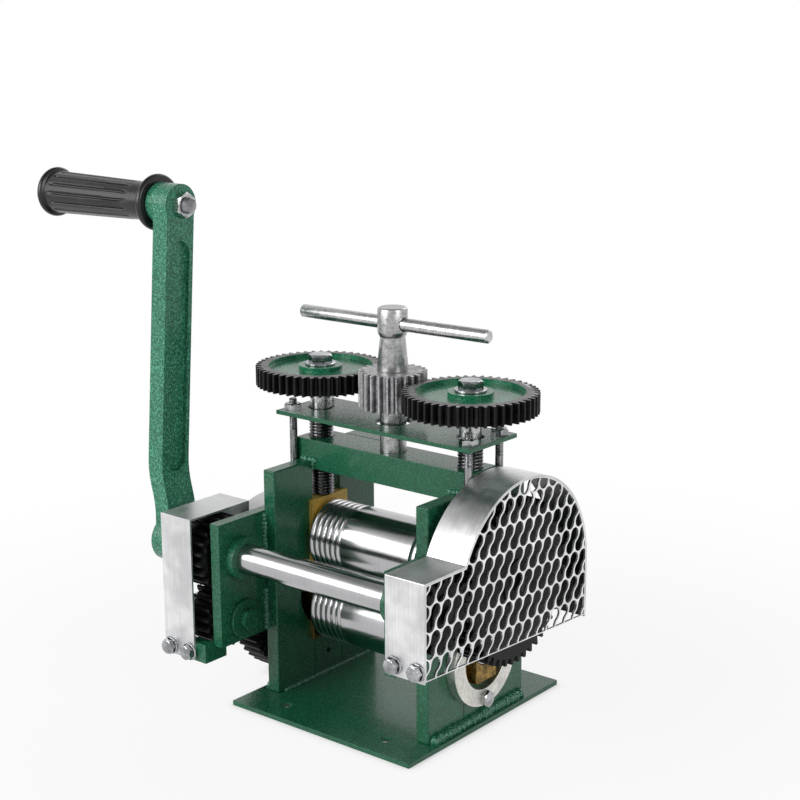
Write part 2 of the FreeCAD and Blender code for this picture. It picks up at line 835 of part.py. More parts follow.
def end_bolt(side_x, y, z, seat_radius):
    """Washer and hex bolt that hold a gear on the end of its shaft."""
    washer_face = side_x * (drive_gear_outer + washer_height)
    plate = cylinder_x(side_x * drive_gear_outer, washer_face, y, z, seat_radius + washer_overhang)
    head = hexagon(point(washer_face, y, z), side_x * X_AXIS, bolt_hex_radius, end_bolt_height)
    return fuse_all([plate, head])


# ---------------------------------------------------------------- crank
def front_shaft():
    return cylinder_x(-hub_outer, drive_gear_outer, shaft_y, shaft_height, shaft_radius)


def drive_pinion(side_x, phase):
    """Pinion keyed on the shaft, with a hub that reaches to the bracket."""
    hub_start = side_x * (bracket_outer + slide_clearance)
    wheel = gear_x(gear_module, pinion_teeth, phase, side_x * drive_gear_inner,
                   side_x * drive_gear_outer, shaft_y, shaft_height)
    hub = cylinder_x(hub_start, side_x * drive_gear_inner, shaft_y, shaft_height, pinion_hub_radius)
    bore = cylinder_x(side_x * bracket_outer, side_x * (drive_gear_outer + CUT), shaft_y, shaft_height,
                      shaft_radius)
    return fuse_all([wheel, hub]).cut(bore)


def arm_bends(bar):
    """Edges at which the crank's bar steps out of line."""
    levels = (shaft_height + arm_step_start, shaft_height + arm_step_end)
    return [edge for edge in bar.Edges if edge.BoundBox.YLength > arm_thickness
            and any(abs(edge.BoundBox.ZMin - level) < CUT and abs(edge.BoundBox.ZMax - level) < CUT
                    for level in levels)]


def arm_bar():
    """Joggled bar of the crank, drawn from the front and given a tapering width."""
    low_outer = arm_outer - arm_step
    low_inner = arm_inner - arm_step
    foot = shaft_height
    head = shaft_height + crank_radius
    section = [
        point(-low_outer, 0, foot), point(-low_outer, 0, foot + arm_step_start),
        point(-arm_outer, 0, foot + arm_step_end), point(-arm_outer, 0, head),
        point(-arm_inner, 0, head), point(-arm_inner, 0, foot + arm_step_end),
        point(-low_inner, 0, foot + arm_step_start), point(-low_inner, 0, foot),
    ]
    bar = prism(section, point(0, arm_width, 0))
    bar = bar.makeFillet(arm_bend_radius, arm_bends(bar))
    bar.translate(point(0, shaft_y - arm_width / 2, 0))
    half_low = arm_width / 2
    half_high = (arm_width - arm_taper) / 2
    start = -arm_outer - CUT
    tapered = prism([
        point(start, shaft_y - half_low, foot), point(start, shaft_y + half_low, foot),
        point(start, shaft_y + half_high, head), point(start, shaft_y - half_high, head),
    ], point(arm_thickness + arm_step + 2 * CUT, 0, 0))
    return bar.common(tapered)


def arm_recess():
    """Long oval hollow in the inner face of the crank's arm."""
    half = arm_width / 2 - recess_inset
    low = shaft_height + arm_step_end + recess_foot_margin + half
    high = shaft_height + crank_radius - eye_radius - recess_head_margin - half
    floor = -arm_inner - recess_depth
    pieces = [box(floor, CUT - arm_inner, shaft_y - half, shaft_y + half, low, high)]
    for z in (low, high):
        pieces.append(cylinder_x(floor, CUT - arm_inner, shaft_y, z, half))
    return fuse_all(pieces)


def crank_arm():
    """Cast arm: hub on the shaft, joggled bar with a recess, and an eye for the grip's bolt."""
    head = shaft_height + crank_radius
    hub = cylinder_x(-hub_outer, -hub_inner, shaft_y, shaft_height, hub_radius)
    eye = cylinder_x(-arm_inner, -eye_outer, shaft_y, head, eye_radius)
    body = fuse_all([arm_bar(), hub, eye]).cut(arm_recess())
    body = body.cut(cylinder_x(-hub_outer - CUT, CUT - hub_inner, shaft_y, shaft_height, shaft_radius))
    body = body.cut(cylinder_x(CUT - arm_inner, -CUT - eye_outer, shaft_y, head, grip_bolt_radius))
    return leaning(body)


def grip_bolt():
    """Bolt that the grip turns on: head in the grip's end, nut against the arm's inner face."""
    head_z = shaft_height + crank_radius
    nut_face = -arm_inner
    head_floor = -grip_outer + grip_head_depth
    pieces = [
        cylinder_x(nut_face + grip_nut_height + grip_bolt_end, head_floor, shaft_y, head_z,
                   grip_bolt_radius),
        cylinder_x(head_floor, -grip_outer - screw_seat_gap, shaft_y, head_z, grip_head_radius),
        hexagon(point(nut_face, shaft_y, head_z), X_AXIS, grip_nut_radius, grip_nut_height),
    ]
    return leaning(fuse_all(pieces))


def grip_turning(outline):
    """Round piece of the grip from pairs of place and radius, turned about the grip's axis."""
    head_z = shaft_height + crank_radius
    corners = [point(outline[0][0], shaft_y, head_z)]
    corners += [point(x, shaft_y, head_z + radius) for x, radius in outline]
    corners.append(point(outline[-1][0], shaft_y, head_z))
    profile = Part.Face(Part.makePolygon(corners + [corners[0]]))
    return profile.revolve(point(0, shaft_y, head_z), X_AXIS, 360)


def rib_outline(x, crest):
    """Closed outline of the ribbed barrel at one place: flat ribs with V furrows between them."""
    head_z = shaft_height + crank_radius
    corners = []
    for rib in range(grip_rib_count):
        for share, radius in ((-0.5, crest - grip_rib_height), (-grip_rib_share / 2, crest),
                              (grip_rib_share / 2, crest)):
            angle = 2 * math.pi * (rib + share) / grip_rib_count
            corners.append(point(x, shaft_y + radius * math.cos(angle), head_z + radius * math.sin(angle)))
    return Part.makePolygon(corners + [corners[0]])


def grip():
    """Rubber grip with an end flange, a ribbed barrel, a plain collar and an inner flange."""
    head_z = shaft_height + crank_radius
    inner = -grip_inner
    outer = -grip_outer
    collar_end = inner - grip_flange_thickness - grip_collar_length
    flange_start = outer + grip_flange_thickness
    inner_flange = grip_turning([
        (inner, grip_inner_flange_radius - grip_edge), (inner - grip_edge, grip_inner_flange_radius),
        (inner - grip_flange_thickness + grip_edge, grip_inner_flange_radius),
        (inner - grip_flange_thickness, grip_neck_radius), (collar_end, grip_neck_radius),
    ])
    outer_flange = grip_turning([
        (flange_start, grip_outer_flange_radius - grip_edge),
        (flange_start - grip_edge, grip_outer_flange_radius),
        (outer + grip_edge, grip_outer_flange_radius), (outer, grip_outer_flange_radius - grip_edge),
    ])
    barrel = Part.makeLoft([rib_outline(collar_end, grip_neck_radius),
                            rib_outline(flange_start, grip_end_radius)], True, True)
    body = fuse_all([inner_flange, barrel, outer_flange])
    bore = cylinder_x(inner + CUT, outer - CUT, shaft_y, head_z, grip_bolt_radius + running_clearance)
    head_room = cylinder_x(outer + grip_head_depth + screw_seat_gap, outer - CUT, shaft_y, head_z,
                           grip_head_radius + screw_seat_gap)
    return leaning(body.cut(bore).cut(head_room))


def idler_gear():
    """Gear between the left pinion and the lower roll's gear, running on its stud."""
    wheel = gear_x(gear_module, idler_teeth, idler_phase, -drive_gear_inner, -drive_gear_outer,
                   idler_y, idler_z)
    hub = cylinder_x(-bracket_outer - slide_clearance, -drive_gear_inner, idler_y, idler_z,
                     idler_hub_radius)
    bore = cylinder_x(-bracket_outer, -drive_gear_outer - CUT, idler_y, idler_z,
                      idler_stud_radius + running_clearance)
    return fuse_all([wheel, hub]).cut(bore)


# ---------------------------------------------------------------- screw-down
def press_screw(side_x):
    """Screw from the block's top through the crossbar, with a neck up to its gear."""
    x = side_x * press_x
    neck_bottom = lift_plate_bottom - CUT
    thread = cylinder_z(block_top + screw_seat_gap, neck_bottom, x, 0, press_screw_radius)
    neck = cylinder_z(neck_bottom, press_neck_top, x, 0, press_neck_radius)
    return fuse_all([thread, neck])


def press_gear(side_x):
    """Gear of a pressing screw, hollowed on both faces between its rim and hub."""
    x = side_x * press_x
    direction = 0.0 if side_x > 0 else math.pi
    phase = meshed_phase(0.0, spindle_teeth, direction, press_gear_teeth)
    bottom = press_gear_top - press_gear_width
    wheel = gear_z(press_module, press_gear_teeth, phase, bottom, press_gear_top, x, 0)
    rim_inside = press_module * press_gear_teeth / 2 - press_rim_thickness
    for low, high in ((press_web_top, press_gear_top + CUT), (bottom - CUT, bottom + press_web_depth)):
        hollow = cylinder_z(low, high, x, 0, rim_inside).cut(cylinder_z(low, high, x, 0, press_hub_radius))
        wheel = wheel.cut(hollow)
    wheel = wheel.cut(cylinder_z(bottom - CUT, press_neck_top, x, 0, press_neck_radius))
    return wheel.cut(cylinder_z(press_web_top, press_gear_top + CUT, x, 0, press_shank_radius))


def press_bolt(side_x):
    """Hex bolt with its washer on top of a pressing gear."""
    x = side_x * press_x
    washer_top = press_gear_top + press_washer_height
    washer = cylinder_z(press_gear_top, washer_top, x, 0, press_washer_radius)
    head = hexagon(point(x, 0, washer_top), Z_AXIS, press_bolt_flats / 2, press_bolt_height)
    shank = cylinder_z(press_neck_top, press_gear_top, x, 0, press_shank_radius)
    return fuse_all([washer, head, shank])


def spindle():
    """Turned spindle: foot in the crossbar, tapered neck, chamfered cap with the bar's bore."""
    foot = crossbar_top - spindle_socket_depth + slide_clearance
    outline = [
        (0, foot), (spindle_lower_radius, foot), (spindle_lower_radius, spindle_pinion_top),
        (spindle_neck_radius, spindle_pinion_top), (spindle_top_radius, spindle_cap_bottom),
        (spindle_cap_radius, spindle_cap_bottom + spindle_cap_taper),
        (spindle_cap_radius, spindle_cap_top - spindle_edge),
        (spindle_cap_radius - spindle_edge, spindle_cap_top), (0, spindle_cap_top),
    ]
    corners = [point(radius, 0, z) for radius, z in outline]
    body = Part.Face(Part.makePolygon(corners + [corners[0]])).revolve(point(0, 0, 0), Z_AXIS, 360)
    bore = cylinder_x(-spindle_cap_radius - CUT, spindle_cap_radius + CUT, 0, tommy_height,
                      tommy_radius)
    bore.rotate(point(0, 0, 0), Z_AXIS, tommy_turn)
    return body.cut(bore)


def spindle_pinion():
    """Long pinion of the spindle, tall enough to stay in mesh over the whole travel."""
    wheel = gear_z(press_module, spindle_teeth, 0.0, spindle_pinion_bottom, spindle_pinion_top, 0, 0)
    return wheel.cut(cylinder_z(spindle_pinion_bottom - CUT, spindle_pinion_top + CUT, 0, 0,
                                spindle_lower_radius))


def tommy_bar():
    """Cross bar through the spindle's cap, chamfered at both ends."""
    half = tommy_length / 2
    bar = cylinder_x(-half, half, 0, tommy_height, tommy_radius)
    ends = []
    for edge in bar.Edges:
        if edge.Curve.TypeId == "Part::GeomCircle":
            ends.append(edge)
    bar = bar.makeChamfer(tommy_edge, ends)
    bar.rotate(point(0, 0, 0), Z_AXIS, tommy_turn)
    return bar


def lifting_plate():
    """Thin plate that hangs on the screws and carries the upper blocks by four studs."""
    plate = box(-lift_plate_width / 2, lift_plate_width / 2, -lift_plate_depth / 2,
                lift_plate_depth / 2, lift_plate_bottom, lift_plate_top)
    holes = [(0, 0, lift_plate_spindle_hole)]
    holes += [(side_x * press_x, 0, lift_plate_screw_hole) for side_x in (-1, 1)]
    holes += [(x, y, stud_radius) for x, y in stud_places()]
    for x, y, radius in holes:
        plate = plate.cut(cylinder_z(lift_plate_bottom - CUT, lift_plate_top + CUT, x, y, radius))
    return plate


def stud_places():
    """Places of the four lifting studs, as pairs seen from above."""
    return [(side_x * stud_x, side_y * stud_y) for side_x in (-1, 1) for side_y in (-1, 1)]


def lifting_studs():
    """Four rods from the ears of the upper blocks up through the plate."""
    foot = block_top - ear_height + stud_socket_floor
    rods = [cylinder_z(foot, lift_plate_top + stud_above, x, y, stud_radius) for x, y in stud_places()]
    return Part.makeCompound(rods)


def lifting_nuts():
    """Four nuts that hang the studs on the plate."""
    nuts = []
    for x, y in stud_places():
        nut = hexagon(point(x, y, lift_plate_top), Z_AXIS, nut_radius, nut_height)
        bore = cylinder_z(lift_plate_top - CUT, lift_plate_top + nut_height + CUT, x, y, stud_radius)
        nuts.append(nut.cut(bore))
    return Part.makeCompound(nuts)


# ---------------------------------------------------------------- whole mill
def build_frame():
    save("base_plate", base_plate())
    for side_name, side_x in (("left", -1), ("right", 1)):
        for depth_name, side_y in (("front", -1), ("rear", 1)):
            save(f"{depth_name}_post_{side_name}", upright(side_x, side_y))
        save(f"window_saddle_{side_name}", saddle(side_x))
        save(f"lower_bearing_block_{side_name}", lower_block(side_x))
        save(f"retainer_ring_{side_name}", retainer_ring(side_x))
        save(f"shaft_bush_{side_name}", shaft_bush(side_x))
    save("retainer_bolts", ring_bolts())
    save("crossbar", crossbar())
    save("crossbar_tab", crossbar_tab())
    save("shaft_bracket_left", left_bracket())
    save("shaft_bracket_right", right_bracket())
    save("idler_stud", idler_stud())
    save("idler_washer", idler_washer())


def build_guards():
    left_arc = lower_roll_height
    right_arc = upper_roll_height
    save("guard_band_left", guard_band(-1, left_guard_inner, left_guard_outer, left_guard_bottom,
                                       left_guard_bottom, left_arc))
    save("guard_face_left", guard_face(-1, left_guard_outer, left_guard_bottom, left_guard_bottom,
                                       left_arc, guard_crank_hole))
    save("guard_band_right", guard_band(1, right_guard_inner, right_guard_outer, right_guard_bottom,
                                        right_guard_rear_bottom, right_arc))
    save("guard_face_right", guard_face(1, right_guard_outer, right_guard_bottom,
                                        right_guard_rear_bottom, right_arc, 0))
    save("guard_bolts", guard_bolts())


def build_crank():
    save("front_shaft", front_shaft())
    save("drive_pinion_left", drive_pinion(-1, to_idler))
    save("drive_pinion_right", drive_pinion(1, to_upper_roll))
    save("shaft_end_bolt", end_bolt(1, shaft_y, shaft_height, shaft_radius))
    save("crank_arm", crank_arm())
    save("grip_bolt", grip_bolt())
    save("crank_grip", grip())
    save("idler_gear", idler_gear())


def build_rolls():
    short_end = outer_face + ring_thickness
    save("lower_roll", roll(lower_roll_height, drive_gear_outer, short_end))
    save("lower_roll_gear", roll_gear(-1, lower_roll_height, lower_gear_phase, 0))
    save("lower_roll_end_bolt", end_bolt(-1, 0, lower_roll_height, journal_radius))
    save("upper_roll", roll(upper_roll_height, outer_face + ear_thickness, drive_gear_outer))
    save("upper_roll_gear", roll_gear(1, upper_roll_height, upper_gear_phase, running_clearance))
    save("upper_roll_end_bolt", end_bolt(1, 0, upper_roll_height, journal_radius))
    save("upper_thrust_washers", thrust_washers(upper_roll_height))
    save("lower_thrust_washers", thrust_washers(lower_roll_height))


def build_screw_down():
    for side_name, side_x in (("left", -1), ("right", 1)):
        save(f"press_screw_{side_name}", press_screw(side_x))
        save(f"press_gear_{side_name}", press_gear(side_x))
        save(f"press_bolt_{side_name}", press_bolt(side_x))
        save(f"upper_bearing_block_{side_name}", upper_block(side_x))
    save("spindle", spindle())
    save("spindle_pinion", spindle_pinion())
    save("tommy_bar", tommy_bar())
    save("lifting_plate", lifting_plate())
    save("lifting_studs", lifting_studs())
    save("lifting_nuts", lifting_nuts())


os.makedirs(PARTS, exist_ok=True)
build_frame()
build_guards()
build_crank()
build_rolls()
build_screw_down()
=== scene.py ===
"""Looks of the jewellers rolling mill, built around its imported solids.

Each sub-assembly of the mill is a class: the welded frame, the bearings, the rolls, the
drive train, the guards, the crank and the screw-down. Sizes are in millimetres in the
classes and become metres where a mesh is made. Only the stage is set out in metres.
"""

import json
import logging
import math
from dataclasses import dataclass
from enum import Enum
from functools import cache
from typing import Callable, Sequence

import bmesh
import bpy
from mathutils import Euler, Matrix, Vector


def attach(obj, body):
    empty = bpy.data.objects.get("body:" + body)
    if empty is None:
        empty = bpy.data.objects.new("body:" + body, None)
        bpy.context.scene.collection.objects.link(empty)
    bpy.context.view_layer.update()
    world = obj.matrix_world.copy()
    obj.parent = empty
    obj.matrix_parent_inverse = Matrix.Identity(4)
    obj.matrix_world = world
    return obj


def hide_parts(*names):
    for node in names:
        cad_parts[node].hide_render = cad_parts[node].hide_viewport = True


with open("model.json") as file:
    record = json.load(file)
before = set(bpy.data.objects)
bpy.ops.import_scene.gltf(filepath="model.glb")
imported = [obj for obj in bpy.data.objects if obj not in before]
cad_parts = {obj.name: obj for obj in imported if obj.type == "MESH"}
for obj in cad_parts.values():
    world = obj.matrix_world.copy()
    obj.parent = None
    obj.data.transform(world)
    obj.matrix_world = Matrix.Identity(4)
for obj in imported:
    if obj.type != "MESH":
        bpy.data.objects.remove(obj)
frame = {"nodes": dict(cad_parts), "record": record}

MM = 0.001
SAME_PLACE = 1e-6
FLAT_ANGLE = math.radians(0.4)
FULL_TURN = 2 * math.pi
THREAD_LEVELS = 6
FASTENER_EDGE, FASTENER_ANGLE = 0.12, 28.0
log = logging.getLogger("rolling_mill")

Pair = tuple[float, float]
Triple = tuple[float, float, float]
Socket = bpy.types.NodeSocket
Sockets = bpy.types.bpy_prop_collection
Material = bpy.types.Material
Piece = bpy.types.Object
Shape = bmesh.types.BMesh
Face = bmesh.types.BMFace


class Axis(Enum):
    """Axis of a turned piece, with the direction from which turns about it are counted."""

    X = (Vector((1, 0, 0)), Vector((0, 1, 0)))
    Z = (Vector((0, 0, 1)), Vector((1, 0, 0)))

    def place(self, distance: float, radius: float, angle: float) -> Vector:
        """Returns the point at a distance along the axis, a radius from it and an angle round it."""
        along, across = self.value
        return along * distance + radius * (math.cos(angle) * across + math.sin(angle) * along.cross(across))


class Side(Enum):
    """Left or right half of the mill, as the sign of X there."""

    LEFT = -1
    RIGHT = 1

    @property
    def word(self) -> str:
        """The side's word in the names of nodes."""
        return self.name.lower()


# ---------------------------------------------------------------- node trees
class NodeBoard:
    """Puts nodes on a tree and joins them, for materials and for geometry."""

    family = "ShaderNode"

    def __init__(self, tree: bpy.types.NodeTree) -> None:
        """Args:
            tree: the tree to fill, which is emptied first.
        """
        self.tree = tree
        tree.nodes.clear()

    def put(self, kind: str, inputs: dict | None = None, **settings: object) -> Sockets:
        """Adds one node.

        Args:
            kind: the node's type name, which may leave out the board's own family.
            inputs: values or output sockets for its inputs, by name or number, or a list
                of sockets for an input that takes several.
            **settings: the node's own options.

        Returns:
            Its output sockets.
        """
        node = self.tree.nodes.new(kind if "Node" in kind else self.family + kind)
        for option, value in settings.items():
            setattr(node, option, value)
        for key, value in (inputs or {}).items():
            for source in value if isinstance(value, list) else [value]:
                if isinstance(source, Socket):
                    self.tree.links.new(source, node.inputs[key])
                else:
                    node.inputs[key].default_value = source
        return node.outputs

    def math(self, way: str, first: object, second: object = 0.0) -> Socket:
        """Returns the result of one sum on one or two values."""
        return self.put("ShaderNodeMath", {0: first, 1: second}, operation=way)[0]

    def times(self, first: object, second: object) -> Socket:
        """Returns the product of two values."""
        return self.math("MULTIPLY", first, second)

    def ranged(self, value: Socket, low: object, high: object, start: object = 0.3, stop: object = 0.7,
               way: str = "LINEAR") -> Socket:
        """Returns the value moved from the span start..stop to the span low..high."""
        return self.put("ShaderNodeMapRange", {"Value": value, "From Min": start, "From Max": stop,
                                               "To Min": low, "To Max": high}, interpolation_type=way)[0]

    def seen(self) -> Socket:
        """Returns 1 for rays from the camera, a mirror or a glass, and 0 for the others."""
        rays = self.put("LightPath")
        return self.math("MAXIMUM", self.math("MAXIMUM", rays["Is Camera Ray"], rays["Is Glossy Ray"]),
                         rays["Is Transmission Ray"])


class PaintBox(NodeBoard):
    """Node board of a material, with the patterns that several finishes share."""

    def __init__(self, name: str) -> None:
        """Args:
            name: the material's name.
        """
        self.material = bpy.data.materials.new(name)
        self.material.use_nodes = True
        super().__init__(self.material.node_tree)
        self.place = self.put("TexCoord")["Object"]

    def stretched(self, scale: Triple) -> Socket:
        """Returns Object coordinates multiplied by a scale on each axis."""
        return self.put("Mapping", {"Vector": self.place, "Scale": scale})["Vector"]

    def noise(self, scale: float, detail: float = 2.0, vector: Socket | None = None,
              roughness: float = 0.5) -> Socket:
        """Returns a noise from 0 to 1: its grains in a metre, its finer layers and their strength."""
        return self.put("TexNoise", {"Vector": vector or self.place, "Scale": scale, "Detail": detail,
                                     "Roughness": roughness})["Fac"]

    def shades(self, value: Socket, *stops: tuple[float, Triple]) -> Socket:
        """Turns a value into a colour by a ramp.

        Args:
            value: the value to read.
            *stops: places on the ramp and the colour at each.

        Returns:
            The colour's socket.
        """
        colour = self.put("ValToRGB", {"Fac": value})["Color"]
        ramp = colour.node.color_ramp.elements
        while len(ramp) < len(stops):
            ramp.new(0.5)
        for element, (place, shade) in zip(ramp, stops):
            element.position = place
            element.color = (*shade, 1)
        return colour

    def blend(self, share: object, first: Socket, second: object, way: str = "MIX") -> Socket:
        """Returns a mix of two colours, with a share of the second, a socket or four numbers."""
        return self.put("Mix", {0: share, 6: first, 7: second}, data_type="RGBA", blend_type=way)[2]

    def dimmed(self, share: float, colour: Socket, value: Socket, dark: tuple[float, Triple],
               clear: float) -> Socket:
        """Returns the colour, darkened by a share where the value falls from clear to the dark stop."""
        return self.blend(share, colour, self.shades(value, dark, (clear, (1, 1, 1))), "MULTIPLY")

    def pointed(self, start: float, stop: float) -> Socket:
        """Returns a mask of how sharply the surface turns, from 0 at the start to 1 at the stop."""
        return self.ranged(self.put("NewGeometry")["Pointiness"], 0.0, 1.0, start, stop)

    def worn_and_glinting_edges(self, radius: float) -> Socket:
        """Returns a mask that is 1 on outer edges and 0 on flats, with a broken border, for edges lightened
        as wear and as painted glints.
        """
        broken = self.ranged(self.noise(1 / radius, 3.0), 0.2, 1.0, 0.35, 0.65)
        return self.times(self.pointed(0.545, 0.61), broken)

    def bump(self, height: Socket, strength: float, depth: float, **under: Socket) -> Socket:
        """Returns the normal of a height, its depth in millimetres, laid on another Normal if given."""
        return self.put("Bump", {"Height": height, "Strength": strength, "Distance": depth * MM,
                                 **under})["Normal"]

    def close(self, colour: Socket, roughness: Socket, normal: Socket, **plain: float) -> Material:
        """Puts the shader at the end of the tree.

        Args:
            colour: its base colour.
            roughness: its roughness.
            normal: its normal.
            **plain: uniform numbers for its other inputs, with _ for a space.

        Returns:
            The finished material.
        """
        numbers = {word.replace("_", " "): number for word, number in plain.items()}
        shader = self.put("BsdfPrincipled", {"Base Color": colour, "Roughness": roughness, "Normal": normal,
                                             **numbers})
        self.put("OutputMaterial", {"Surface": shader[0]})
        return self.material


# ---------------------------------------------------------------- finishes
@dataclass(frozen=True)
class Finish:
    """A finish of the mill, made into a material the first time it is asked for."""

    label: str
    slot: str

    def material(self) -> Material:
        """Returns the material, which is made only once."""
        return bpy.data.materials.get(self.label) or self.paint(PaintBox(self.label))

    def paint(self, box: PaintBox) -> Material:
        """Fills the tree of a new material; each finish does this in its own way."""
        raise NotImplementedError


@dataclass(frozen=True)
class HammeredPaint(Finish):
    """Glossy green paint with a hammered grain and bright flecks that are part grain tone and part painted
    glints.
    """

    slot: str = "green_paint"
    dark: Triple = (0.004, 0.062, 0.028)
    middle: Triple = (0.010, 0.112, 0.052)
    light: Triple = (0.050, 0.280, 0.160)
    grain: float = 1050.0
    relief: float = 0.16
    wave: float = 0.30

    def paint(self, box: PaintBox) -> Material:
        """Paints the grain, the slow change of shade and the gloss.

        Args:
            box: the board of the new material.

        Returns:
            The paint.
        """
        grain = box.noise(self.grain, 3.0, roughness=0.62)
        # The light stop gives bright flecks: part real grain tone, part painted glints of the hammered
        # surface.
        colour = box.shades(grain, (0.30, self.dark), (0.50, self.middle), (0.74, self.light))
        colour = box.dimmed(0.8, colour, box.noise(38.0), (0.3, (0.78, 0.84, 0.82)), 0.7)
        roughness = box.ranged(box.noise(self.grain * 0.7), 0.16, 0.36)
        ripples = box.bump(box.noise(170.0, 1.0), 0.3, self.wave)
        normal = box.bump(grain, 0.7, self.relief, Normal=ripples)
        return box.close(colour, roughness, normal, Specular_IOR_Level=0.3, Coat_Weight=0.2,
                         Coat_Roughness=0.1)


@dataclass(frozen=True)
class BrushedSheet(Finish):
    """Thin bright sheet, brushed along one direction, with faint smudges."""

    slot: str = "brushed_sheet"
    strokes: Triple = (1500.0, 30.0, 30.0)
    tone: float = 0.74
    contrast: float = 0.10

    def paint(self, box: PaintBox) -> Material:
        """Draws the brush strokes and the smudges.

        Args:
            box: the board of the new material.

        Returns:
            The sheet metal.
        """
        strokes = box.noise(1.0, 4.0, box.stretched(self.strokes), 0.7)
        smudge = box.noise(42.0, 4.0, roughness=0.6)
        low, high = self.tone - self.contrast, self.tone + self.contrast / 2
        colour = box.shades(strokes, (0.3, (low, low, low * 1.01)), (0.7, (high, high, high * 1.01)))
        colour = box.dimmed(0.55, colour, smudge, (0.38, (0.62, 0.62, 0.63)), 0.60)
        return box.close(colour, box.ranged(smudge, 0.34, 0.54), box.bump(strokes, 0.2, 0.04), Metallic=1.0)


@dataclass(frozen=True)
class TurnedMetal(Finish):
    """Metal turned or ground on a lathe, with fine rings across its axis."""

    slot: str = "polished_steel"
    tint: Triple = (0.50, 0.50, 0.51)
    rings: Triple = (5200.0, 20.0, 20.0)
    sheen: Pair = (0.13, 0.19)
    ring_depth: float = 0.0012
    mottle: float = 0.12
    mottle_grain: float = 60.0

    def paint(self, box: PaintBox) -> Material:
        """Draws the turning rings and the mottled shade.

        Args:
            box: the board of the new material.

        Returns:
            The metal.
        """
        rings = box.noise(1.0, 2.0, box.stretched(self.rings), 0.6)
        spots = box.noise(self.mottle_grain, 3.0, roughness=0.6)
        dim = tuple(0.88 * part for part in self.tint)
        colour = box.shades(rings, (0.3, dim), (0.65, self.tint))
        colour = box.dimmed(self.mottle, colour, spots, (0.35, (0.40, 0.41, 0.42)), 0.6)
        return box.close(colour, box.ranged(spots, *self.sheen), box.bump(rings, 0.3, self.ring_depth),
                         Metallic=1.0)


@dataclass(frozen=True)
class PlatedMetal(Finish):
    """Plated, blackened or raw metal with a cloudy surface, bright edges of wear and painted glint, and
    painted shade in its inner corners.
    """

    slot: str = "zinc"
    tint: Triple = (0.60, 0.61, 0.63)
    shade: Triple = (0.42, 0.43, 0.45)
    edge: Triple = (0.85, 0.85, 0.85)
    sheen: Pair = (0.16, 0.30)
    grain: float = 900.0
    grain_depth: float = 0.015
    speckle: float = 0.3
    metallic: float = 1.0
    specular: float = 0.5

    def paint(self, box: PaintBox) -> Material:
        """Draws the clouds, the grain, the bright edges and painted shade in the inner corners.

        Args:
            box: the board of the new material.

        Returns:
            The metal.
        """
        grain = box.noise(self.grain, 4.0, roughness=0.6)
        cloud = box.noise(self.grain * 0.22, 3.0)
        colour = box.shades(cloud, (0.34, self.shade), (0.62, self.tint))
        colour = box.dimmed(self.speckle, colour, grain, (0.38, (0.3, 0.3, 0.3)), 0.58)
        # Edges lightened: partly wear, partly painted glints along the edges.
        colour = box.blend(box.worn_and_glinting_edges(0.9 * MM), colour, (*self.edge, 1.0))
        # Painted shade: where the surface turns inward, in corners and creases, the colour goes to near black
        # as if shaded.
        colour = box.blend(box.pointed(0.455, 0.39), colour, (0.02, 0.02, 0.02, 1.0))
        return box.close(colour, box.ranged(grain, *self.sheen), box.bump(grain, 0.35, self.grain_depth),
                         Metallic=self.metallic, Specular_IOR_Level=self.specular)


@dataclass(frozen=True)
class MouldedRubber(Finish):
    """Black moulded rubber with a fine matt grain and lighter ridges, rubbed and with painted highlights."""

    slot: str = "rubber"
    dark: Triple = (0.004, 0.004, 0.005)
    rubbed: Triple = (0.016, 0.016, 0.017)

    def paint(self, box: PaintBox) -> Material:
        """Draws the grain and the ridges, lightened as wear and as painted highlight.

        Args:
            box: the board of the new material.

        Returns:
            The rubber.
        """
        cloud = box.noise(90.0, 3.0)
        colour = box.shades(cloud, (0.35, self.dark), (0.7, self.rubbed))
        # Ridges lightened: partly rubbed wear, partly painted highlights on the ribs.
        colour = box.blend(box.worn_and_glinting_edges(1.2 * MM), colour, (0.05, 0.05, 0.05, 1.0))
        normal = box.bump(box.noise(1500.0, 3.0), 0.2, 0.04)
        return box.close(colour, box.ranged(cloud, 0.20, 0.32), normal, Specular_IOR_Level=0.42)


GREEN = HammeredPaint("green_hammered_paint")
CAST_GREEN = HammeredPaint("green_paint_on_casting", dark=(0.007, 0.078, 0.038), middle=(0.024, 0.205, 0.108),
                           light=(0.190, 0.620, 0.430), grain=900.0, relief=0.5, wave=0.6)
SMOOTH_GREEN = HammeredPaint("smooth_green_paint", relief=0.03, wave=0.06)
# Painted light: a lighter copy of the frame green for the upward gear webs, standing for the light from
# above.
LIT_WEB_GREEN = HammeredPaint("green_paint_on_gear", middle=(0.014, 0.190, 0.090), light=(0.060, 0.400, 0.225),
                          relief=0.1)
# Painted highlight: the welds get a lighter green whose bright stop stands for the glint along the beads.
GLINTING_WELD_GREEN = HammeredPaint("green_paint_on_welds", middle=(0.020, 0.170, 0.090), light=(0.26, 0.62, 0.46),
                           relief=0.12)
SHEET = BrushedSheet("brushed_strip")
# Painted shade: a near-black sheet for the inside of the guard strips, where shade falls.
SHADED_INNER_SHEET = BrushedSheet("oily_inner_sheet", tone=0.10, contrast=0.03)
MESH_SHEET = BrushedSheet("bright_mesh", strokes=(60.0, 500.0, 500.0), tone=0.90, contrast=0.08)
ROLL_STEEL = TurnedMetal("ground_roll_steel")
SPINDLE_STEEL = TurnedMetal("rough_turned_steel", "turned_steel", (0.46, 0.46, 0.46), (30.0, 30.0, 1500.0),
                            (0.24, 0.36), 0.02, 0.6, 480.0)
BAR_STEEL = TurnedMetal("drawn_bar_steel", "turned_steel", (0.58, 0.58, 0.58), (900.0, 60.0, 60.0),
                        (0.20, 0.30), 0.01, 0.5, 400.0)
